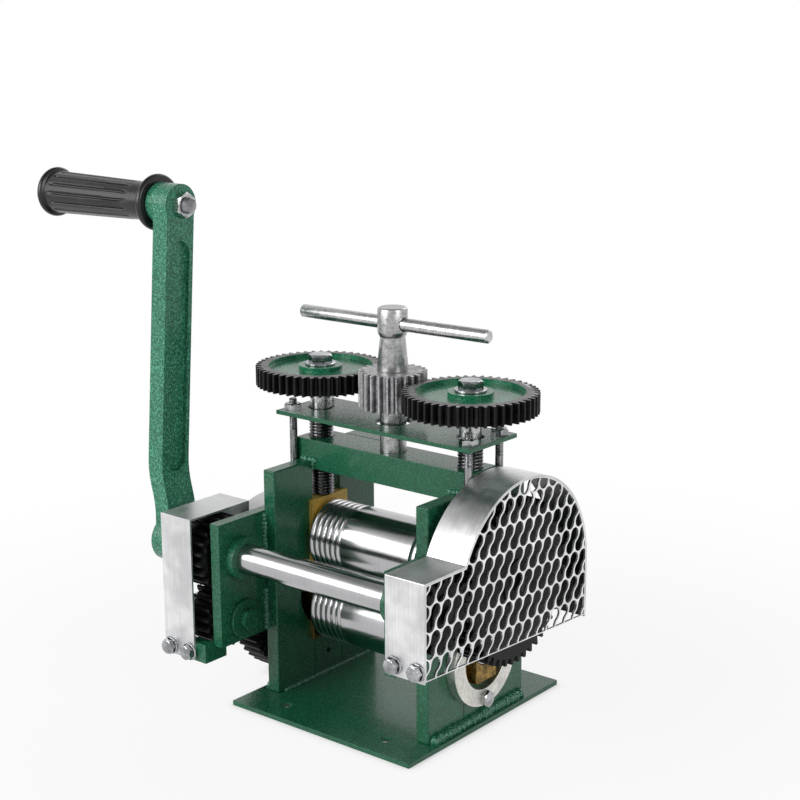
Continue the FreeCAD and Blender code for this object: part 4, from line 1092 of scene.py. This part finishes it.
@dataclass(frozen=True)
class Guard:
    """Bent strip and perforated face of one gear guard."""

    side: Side
    outer: float
    bottoms: Pair
    arc: float
    bolt_height: float
    sheet: float = 1.2
    front: float = -94.3
    top: float = 123.0
    radius: float = 64.0
    rim: float = 0.6
    pitch_y: float = 9.6
    pitch_z: float = 15.3
    step: float = -44.09
    lobe: float = 4.1
    lobe_swing: float = 104.0
    lean: float = 4.8
    reach: float = 7.3
    waist: float = 3.0
    crown_steps: int = 56
    bend: float = 1.0
    bend_turn: float = 0.8
    cut_share: float = 0.2
    slot_rounding: float = 0.2
    gears_middle: Triple = (0.0, -20.0, 90.0)

    @property
    def fall(self) -> float:
        """Slope of the face's lower edge, from the front down to the rear."""
        return (self.bottoms[0] - self.bottoms[1]) / (self.radius - self.front)

    def inside(self, face: Face) -> bool:
        """Tells whether a face of the strip looks at the gears.

        Args:
            face: the face.

        Returns:
            True on the strip's inside.
        """
        inwards = Vector(self.gears_middle) * MM - face.calc_center_median()
        inwards.x = 0
        return face.normal.dot(inwards.normalized()) > 0.3

    def strip(self) -> None:
        """Rounds the bends of the strip more than its cut edges, and gives its inside a dark sheet as painted
        shade.
        """
        node = "guard_band_" + self.side.word
        shape = node_copy(node, self.inside)
        weights = shape.edges.layers.float.new("bevel_weight_edge")
        for edge in shape.edges:
            run = edge.verts[0].co - edge.verts[1].co
            if edge.calc_face_angle(0.0) > self.bend_turn:
                edge[weights] = 1.0 if abs(run.x) > 0.999 * run.length else self.cut_share
        # Faces looking at the gears get the dark sheet as painted shade.
        dressed(node, shape, SHEET, SHADED_INNER_SHEET, edge=self.bend, segments=3, way="WEIGHT")

    def outline(self, inset: float) -> list[Pair]:
        """Closed outline of the face.

        Args:
            inset: how far the line lies inside the guard's outside.

        Returns:
            Pairs of Y and Z, in order.
        """
        radius, top, front = self.radius - inset, self.top - inset, self.front + inset
        low = self.bottoms[0] + inset
        meet_y = min(self.step - inset, -math.sqrt(max(0.0, radius ** 2 - (top - self.arc) ** 2)))
        turns = [math.acos(meet_y / radius) * step / self.crown_steps for step in range(self.crown_steps + 1)]
        line = [(front, low), (radius, low - self.fall * (radius - front))]
        line += [(radius * math.cos(turn), self.arc + radius * math.sin(turn)) for turn in turns]
        if line[-1][1] < top - self.sheet:
            line.append((meet_y, top))
        return line + [(front, top)]

    def slot_outline(self) -> list[Pair]:
        """Draws one slot: two round lobes, one up and one down, with a waist between them.

        Returns:
            Pairs of Y and Z about the slot's middle.
        """
        up = Vector((self.lean / 2, self.reach / 2))
        along = up.normalized()
        across = Vector((along.y, -along.x))
        swing = math.radians(self.lobe_swing)
        shoulder, width = up.length + self.lobe * math.cos(swing), self.lobe * math.sin(swing)
        line = []
        for sign in (1, -1):
            for step in range(11):
                turn = swing * (step / 5 - 1)
                line.append(sign * (along * (up.length + self.lobe * math.cos(turn))
                                    + across * self.lobe * math.sin(turn)))
            for share in (0.6, 0.25, -0.25, -0.6):
                half = self.waist + (width - self.waist) * abs(share) ** 1.6
                line.append(sign * (along * shoulder * share + across * half))
        return [(place.x, place.y) for place in line]

    def face(self) -> None:
        """Punches the slots into the face."""
        node = "guard_face_" + self.side.word
        sign = self.side.value
        near, far = sign * (self.outer - self.sheet), sign * self.outer
        field = piece_from(plate(self.outline(self.sheet + self.rim), near - 2, far + 2), "field")
        slot = piece_from(plate(self.slot_outline(), -3.0, 3.0), "slot")
        start = Vector((sign * (self.outer - self.sheet / 2), self.front - 2.0, self.bottoms[0] + 6.0)) * MM
        span = self.arc + self.radius - min(self.bottoms)
        face = perforation_tree().grow(
            node + "_dressed", plate(self.outline(self.sheet), near, far), MESH_SHEET, Slot=slot,
            Field=field, Start=start, Pitch=Vector((0, self.pitch_y, self.pitch_z)) * MM, Fall=self.fall,
            Rows=int(span / self.pitch_z) + 3, Columns=int((self.radius - self.front) / self.pitch_y) + 3)
        for tool in (field, slot):
            bpy.data.objects.remove(tool)
        stands_for(softened(face, self.slot_rounding, angle=50.0), node)


@dataclass
class Guards:
    """Both gear guards and the flanged bolts that hold them."""

    pair: tuple[Guard, Guard] = (Guard(Side.LEFT, 104.0, (34.5, 34.5), 50.8, 39.0),
                                 Guard(Side.RIGHT, 98.0, (66.0, 57.0), 96.0, 72.25))
    bolt_inset: float = 5.0
    bolt_spacing: float = 16.0
    head_flats: float = 4.2
    head_height: float = 3.4
    flange: float = 5.6

    def build(self) -> None:
        """Dresses the strips, punches the faces and puts the bolts in."""
        places = []
        for guard in self.pair:
            guard.strip()
            guard.face()
            first = guard.outer - self.bolt_inset
            places += [(guard.side.value * x, guard.front, guard.bolt_height)
                       for x in (first, first - self.bolt_spacing)]
        lip = self.flange - 0.7
        flange = lathe([(0, 0), (0, self.flange - 0.2), (0.5, self.flange), (1.1, lip + 0.2), (1.2, lip),
                        (0.2, lip - 0.1), (0.2, 0)], segments=32)
        pattern = joined(flange, hex_head(self.head_flats, self.head_height + 1.0, 0.1))
        bolts = fasteners("guard_bolts_dressed", pattern, places, (math.pi / 2, 0, 0), ZINC, 5)
        stands_for(bolts, "guard_bolts")


@dataclass
class Crank:
    """Cast arm, ribbed rubber grip and the bolt that the grip turns on."""

    shaft_y: float = -68.99
    shaft_height: float = 97.0
    radius: float = 206.5
    lean: float = 4.5
    grip_inner: float = -139.0
    grip_length: float = 98.0
    neck: float = 11.6
    end: float = 13.4
    inner_flange: float = 17.3
    outer_flange: float = 15.7
    flange_width: float = 5.0
    flange_rounding: float = 1.6
    flange_hollow: float = 3.5
    collar: float = 14.0
    ribs: int = 14
    furrow: float = 1.3
    nut_flats: float = 7.0
    nut_seat: float = -120.7
    nut_height: float = 5.6
    bolt: float = 5.0
    bolt_head: float = 8.5
    stud_end: float = -111.8

    @property
    def head(self) -> Triple:
        """Middle of the grip's axis before the crank leans, in millimetres."""
        return 0.0, self.shaft_y, self.shaft_height + self.radius

    def leaning(self) -> Matrix:
        """Returns the matrix that leans the crank about its shaft."""
        foot = Vector((0, self.shaft_y, self.shaft_height)) * MM
        turn = Matrix.Rotation(-math.radians(self.lean), 4, "X")
        return Matrix.Translation(foot) @ turn @ Matrix.Translation(-foot)

    def build(self) -> None:
        """Dresses the arm and builds the grip and its bolt."""
        dressed_copy("crank_arm", 0.9, CAST_GREEN, segments=4)
        self.grip()
        self.grip_bolt()

    def grip(self) -> None:
        """Builds the grip: barrel, flanges and sunk end."""
        inner, outer, width = self.grip_inner, self.grip_inner - self.grip_length, self.flange_width
        length = self.grip_length - 2 * width
        sheet = bmesh.new()
        bmesh.ops.create_grid(sheet, x_segments=70, y_segments=self.ribs * 14, size=0.5,
                              matrix=Matrix.Translation((0.5, 0.5, 0)))
        barrel = ribbed_barrel_tree().grow(
            "crank_grip_barrel", sheet, RUBBER, Length=length * MM, Thin=self.neck * MM, Thick=self.end * MM,
            Ribs=float(self.ribs), Depth=self.furrow * MM, Plain=self.collar / length)
        shape = bmesh.new()
        shape.from_mesh(barrel.data)
        bpy.data.objects.remove(barrel)
        moved(shape, Matrix.Translation((Vector((inner - width, 0, 0)) + Vector(self.head)) * MM))
        bmesh.ops.recalc_face_normals(shape, faces=shape.faces)
        near, far = [lathe(self.flange_outline(*sizes), Axis.X, self.head, 96) for sizes in (
            (inner, inner - width, self.inner_flange, self.neck, 5.4),
            (outer, outer + width, self.outer_flange, self.end, 8.8))]
        dressed("crank_grip", moved(joined(shape, near, far), self.leaning()), RUBBER, angle=40.0)

    def flange_outline(self, face: float, back: float, radius: float, barrel: float,
                       bore: float) -> list[Pair]:
        """Outline of a flange with a full round rim and a hollow from its face.

        Args:
            face: place of its flat face.
            back: place where it meets the barrel.
            radius: its radius.
            barrel: radius of the barrel there.
            bore: radius of the hollow.

        Returns:
            Pairs of place and radius.
        """
        width, rounding = back - face, self.flange_rounding
        way = math.copysign(1.0, width)
        floor = face + way * self.flange_hollow
        line = [(floor, 0), (floor, bore), (face + way * 0.4, bore), (face, bore + 0.5)]
        for step in range(9):
            turn = math.pi * step / 8
            line.append((face + width * 0.42 * (1 - math.cos(turn)),
                         radius - rounding + rounding * math.sin(turn)))
        for step in range(1, 6):
            share = step / 5
            line.append((face + width * (0.84 + 0.5 * share),
                         barrel - 0.3 + (radius - 1.9 - barrel) * (1 - share) ** 2.2))
        return line + [(face + width * 1.34, 0)]

    def grip_bolt(self) -> None:
        """Builds the grip's bolt: nut with threaded end, collar and sunk head."""
        seat, bolt, wide = self.nut_seat, self.bolt, self.bolt_head
        stand = Matrix.Translation(Vector(self.head) * MM) @ Matrix.Rotation(math.pi / 2, 4, "Y")
        nut = moved(hex_head(self.nut_flats, self.nut_height, seat, 1.0),
                    stand @ Matrix.Rotation(math.pi / 6, 4, "Z"))
        stud = moved(threaded_rod(bolt, 1.5, 0.7, seat + self.nut_height - 0.5, self.stud_end), stand)
        for part in stud.faces:
            part.material_index = 1
        face = self.grip_inner - self.grip_length
        shank = lathe([(face + 0.3, 0), (face + 0.3, wide - 0.9), (face + 1.1, wide), (face + 4.0, wide),
                       (face + 4.0, bolt), (seat, bolt), (seat, 0)], Axis.X, self.head, 48)
        whole = moved(joined(nut, stud, shank), self.leaning())
        dressed("grip_bolt", whole, ZINC, STUD_STEEL, angle=30.0)


@dataclass
class ScrewDown:
    """Press screws with their gears, spindle with its bar, and the lifting plate."""

    press_x: float = 57.65
    screw_radius: float = 7.6
    screw_pitch: float = 2.0
    thread_depth: float = 0.9
    neck_radius: float = 6.6
    screw_foot: float = 121.8
    thread_top: float = 173.5
    neck_top: float = 202.3
    gear_top: float = 204.3
    rim_inside: float = 31.9
    washer: tuple[Pair, ...] = ((-1, 0), (-1, 4.0), (0, 4.0), (0, 9.3), (0.3, 9.5), (1.2, 9.5), (1.5, 9.2),
                                (1.5, 0))
    bolt_flats: float = 6.5
    bolt_height: float = 5.0
    stud_radius: float = 2.5
    stud_pitch: float = 0.9
    stud_thread: float = 20.0
    stud_x: float = 67.4
    stud_y: float = 15.0
    stud_foot: float = 105.5
    plate_top: float = 177.0
    stud_above: float = 7.0
    nut_flats: float = 4.9
    nut_height: float = 4.0
    spindle_line: tuple[Pair, ...] = (
        (149.1, 0), (149.1, 8.0), (208.5, 8.0), (208.5, 9.3), (209.3, 9.5), (228.0, 7.6), (229.0, 7.6),
        (229.4, 7.9), (231.6, 9.0), (232.2, 9.1), (245.0, 9.0), (246.0, 8.6), (246.5, 7.8), (246.5, 0))
    bar_height: float = 236.8
    bar_radius: float = 4.0
    bar_half: float = 69.0
    bar_turn: float = 2.0
    bar_play: float = 0.35
    drill_half: float = 14.0

    def build(self) -> None:
        """Dresses everything above the crossbar."""
        dressed_copy("lifting_plate", 0.35, GREEN)
        dressed_copy("spindle_pinion", 0.25, GEAR_LAND)
        for side in Side:
            self.press_screw(side)
            self.press_gear(side)
            self.press_bolt(side)
        self.spindle()
        self.tommy_bar()
        self.studs()

    def press_screw(self, side: Side) -> None:
        """Builds one screw: thread below the plate and a turned neck above it.

        Args:
            side: the side it stands on.
        """
        x, low, top = side.value * self.press_x, self.thread_top - 2, self.neck_top
        thread = threaded_rod(self.screw_radius, self.screw_pitch, self.thread_depth, self.screw_foot,
                              self.thread_top, x, 48)
        neck = lathe([(low, 0), (low, self.neck_radius), (top, self.neck_radius), (top, 0)],
                     centre=(x, 0, 0), segments=48)
        # The screw gets the darker steel as painted shade.
        dressed("press_screw_" + side.word, joined(thread, neck), SHADED_THREAD_STEEL, angle=40.0)

    def press_gear(self, side: Side) -> None:
        """Dresses one gear: black teeth, web and hub in a green lightened as painted light from above, bare
        rim faces.

        Args:
            side: the side it stands on.
        """
        middle = Vector((side.value * self.press_x, 0)) * MM
        rim = (self.rim_inside + 0.2) * MM

        def look(face: Face) -> int:
            """Returns the number of a face's finish by its place and its direction."""
            inside = max((corner.co.xy - middle).length for corner in face.verts) < rim
            return 1 if inside else 2 * (abs(face.normal.z) > 0.9)

        # Web and hub get the lighter green as painted light.
        dressed_copy("press_gear_" + side.word, 0.3, GEAR_BLACK, LIT_WEB_GREEN, GEAR_RIM, pick=look)

    def press_bolt(self, side: Side) -> None:
        """Builds the washer and hex bolt on one gear.

        Args:
            side: the side it stands on.
        """
        x, top = side.value * self.press_x, self.gear_top
        washer = lathe([(top + rise, radius) for rise, radius in self.washer], centre=(x, 0, 0), segments=48)
        head = hex_head(self.bolt_flats, self.bolt_height, top + self.washer[-1][0], 1.1)
        whole = joined(washer, moved(head, Matrix.Translation((x * MM, 0, 0))))
        dressed("press_bolt_" + side.word, whole, ZINC, edge=0.15)

    def bar(self, outline: Sequence[Pair], segments: int) -> Shape:
        """Returns an outline turned about the tommy bar's axis."""
        return moved(lathe(outline, Axis.X, (0, 0, self.bar_height), segments),
                     Matrix.Rotation(math.radians(self.bar_turn), 4, "Z"))

    def spindle(self) -> None:
        """Turns the spindle and bores its cap for the bar."""
        body = piece_from(lathe(self.spindle_line, segments=72), "spindle_dressed", [SPINDLE_STEEL], 30.0)
        reach, radius = self.drill_half, self.bar_radius + self.bar_play
        hole = self.bar([(-reach, 0), (-reach, radius), (reach, radius), (reach, 0)], 40)
        drill = piece_from(hole, "drill", [SPINDLE_STEEL])
        bore = body.modifiers.new("bore", "BOOLEAN")
        bore.object = drill
        bore.operation = "DIFFERENCE"
        bore.solver = "EXACT"
        settled(body)
        bpy.data.objects.remove(drill)
        stands_for(softened(body, 0.4, angle=40.0), "spindle")

    def tommy_bar(self) -> None:
        """Turns the cross bar, with a chamfer at each end."""
        half, radius = self.bar_half, self.bar_radius
        outline = [(-half, 0), (-half, radius - 0.9), (-half + 0.8, radius - 0.05), (-half + 1.1, radius)]
        outline += [(-x, r) for x, r in reversed(outline)]
        dressed("tommy_bar", self.bar(outline, 48), BAR_STEEL)

    def studs(self) -> None:
        """Builds the four studs and their nuts."""
        seats = [(x * self.stud_x, y * self.stud_y, self.plate_top) for x in (-1, 1) for y in (-1, 1)]
        top, plain_radius = self.plate_top + self.stud_above, self.stud_radius - 0.1
        low = top - self.stud_thread
        plain = lathe([(self.stud_foot, 0), (self.stud_foot, plain_radius), (low, plain_radius), (low, 0)],
                      segments=24)
        rod = joined(plain, threaded_rod(self.stud_radius, self.stud_pitch, 0.35, low - 0.5, top, around=20))
        feet = [(x, y, 0.0) for x, y, _ in seats]
        nut = hex_head(self.nut_flats, self.nut_height, rounding=0.7)
        for node, pattern, places, finish, seed, spread in (
                ("lifting_studs", rod, feet, STUD_STEEL, 8, 0.0),
                ("lifting_nuts", nut, seats, ZINC, 9, math.pi / 3)):
            row = fasteners(node + "_dressed", pattern, places, (0, 0, 0), finish, seed, spread)
            stands_for(row, node)


# ---------------------------------------------------------------- stage
@dataclass
class Stage:
    """Pale floor, soft lamps and the camera."""

    floor_half: float = 30.0
    floor_shade: float = 0.86
    floor_dim: float = 0.88
    floor_fade: Pair = (0.12, 0.55)
    ceiling_from: Pair = (0.62, 0.78)
    ceiling_light: float = 0.38
    light_all_round: float = 0.17
    eye: Triple = (0.6028, -0.7345, 0.4240)
    azimuth: float = 39.1243
    pitch: float = 13.8306
    roll: float = -0.2575
    lens: float = 73.83

    def build(self) -> None:
        """Sets up the floor, the light and the camera."""
        self.floor()
        self.world()
        self.lamp("key", (-0.6, -1.75, 0.85), (0.0, -0.02, 0.14), 0.9, 19.0)
        self.lamp("left", (-1.47, -1.61, 1.00), (0.0, 0.0, 0.10), 1.2, 11.0)
        self.lamp("side", (1.7, -0.3, 0.8), (0.0, 0.0, 0.10), 0.8, 8.5)
        self.lamp("back", (-0.2, 1.6, 1.15), (0.0, 0.0, 0.10), 1.2, 7.0)
        self.camera()

    def floor(self) -> None:
        """Lays the floor: white where it's seen, dimmer near the mill, pale for all other light."""
        shape = bmesh.new()
        bmesh.ops.create_grid(shape, x_segments=2, y_segments=2, size=self.floor_half)
        floor = piece_from(shape, "floor")
        box = PaintBox("floor")
        pale = box.put("BsdfDiffuse", {"Color": (*[self.floor_shade] * 3, 1)})[0]
        white = box.put("Emission", {"Color": (1, 1, 1, 1), "Strength": 1.0})[0]
        reach = box.put("VectorMath", {0: box.place}, operation="LENGTH")["Value"]
        open_air = box.put("AmbientOcclusion", {"Distance": 8 * MM})["AO"]
        lit = box.times(box.ranged(reach, self.floor_dim, 1.0, *self.floor_fade, "SMOOTHSTEP"), open_air)
        mixed = box.put("MixShader", {0: box.times(box.seen(), lit), 1: pale, 2: white})[0]
        box.put("OutputMaterial", {"Surface": mixed})
        floor.data.materials.append(box.material)

    def world(self) -> None:
        """Makes the surroundings: soft light all round, white where seen, under a dimmer ceiling."""
        world = bpy.data.worlds.new("surroundings")
        bpy.context.scene.world = world
        world.use_nodes = True
        board = NodeBoard(world.node_tree)
        height = board.put("SeparateXYZ", {0: board.put("TexCoord")["Generated"]})["Z"]
        ceiling = board.ranged(height, 0.0, 1.0, *self.ceiling_from, "SMOOTHSTEP")
        mirrored = board.times(ceiling, board.put("LightPath")["Is Glossy Ray"])
        bright = board.ranged(mirrored, 1.0, self.ceiling_light, 0.0, 1.0)
        strength = board.ranged(board.seen(), self.light_all_round, bright, 0.0, 1.0)
        sky = board.put("Background", {"Color": (1, 1, 1, 1), "Strength": strength})[0]
        board.put("OutputWorld", {"Surface": sky})

    def lamp(self, name: str, place: Triple, aim: Triple, size: float, power: float) -> None:
        """Hangs a soft square lamp.

        Args:
            name: its name.
            place: where it hangs, in metres.
            aim: the point it looks at.
            size: length of its side, in metres.
            power: its power in watts.
        """
        data = bpy.data.lights.new(name, "AREA")
        data.size = size
        data.energy = power
        lamp = bpy.data.objects.new(name, data)
        lamp.location = place
        lamp.rotation_euler = (Vector(aim) - Vector(place)).to_track_quat("-Z", "Y").to_euler()
        bpy.context.scene.collection.objects.link(lamp)

    def camera(self) -> None:
        """Places the camera."""
        azimuth, pitch, roll = (math.radians(a) for a in (self.azimuth, self.pitch, self.roll))
        right = Vector((math.cos(azimuth), math.sin(azimuth), 0))
        forward = Vector((-math.sin(azimuth) * math.cos(pitch), math.cos(azimuth) * math.cos(pitch),
                          -math.sin(pitch)))
        up = right.cross(forward)
        turned_right = math.cos(roll) * right + math.sin(roll) * up
        turned_up = math.cos(roll) * up - math.sin(roll) * right
        data = bpy.data.cameras.new("camera")
        data.lens = self.lens
        data.sensor_width = 36.0
        camera = bpy.data.objects.new("camera", data)
        turn = Matrix((turned_right, turned_up, -forward)).transposed().to_4x4()
        camera.matrix_world = Matrix.Translation(self.eye) @ turn
        bpy.context.scene.collection.objects.link(camera)
        bpy.context.scene.camera = camera


def main() -> None:
    """Dresses the mill piece by piece."""
    logging.basicConfig(level=logging.INFO, format="%(name)s: %(message)s")
    bpy.context.scene.view_settings.view_transform = "Standard"
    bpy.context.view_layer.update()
    for assembly in (WeldedFrame, Bearings, RollPair, DriveTrain, Guards, Crank, ScrewDown, Stage):
        assembly().build()


if __name__ == "__main__":
    main()
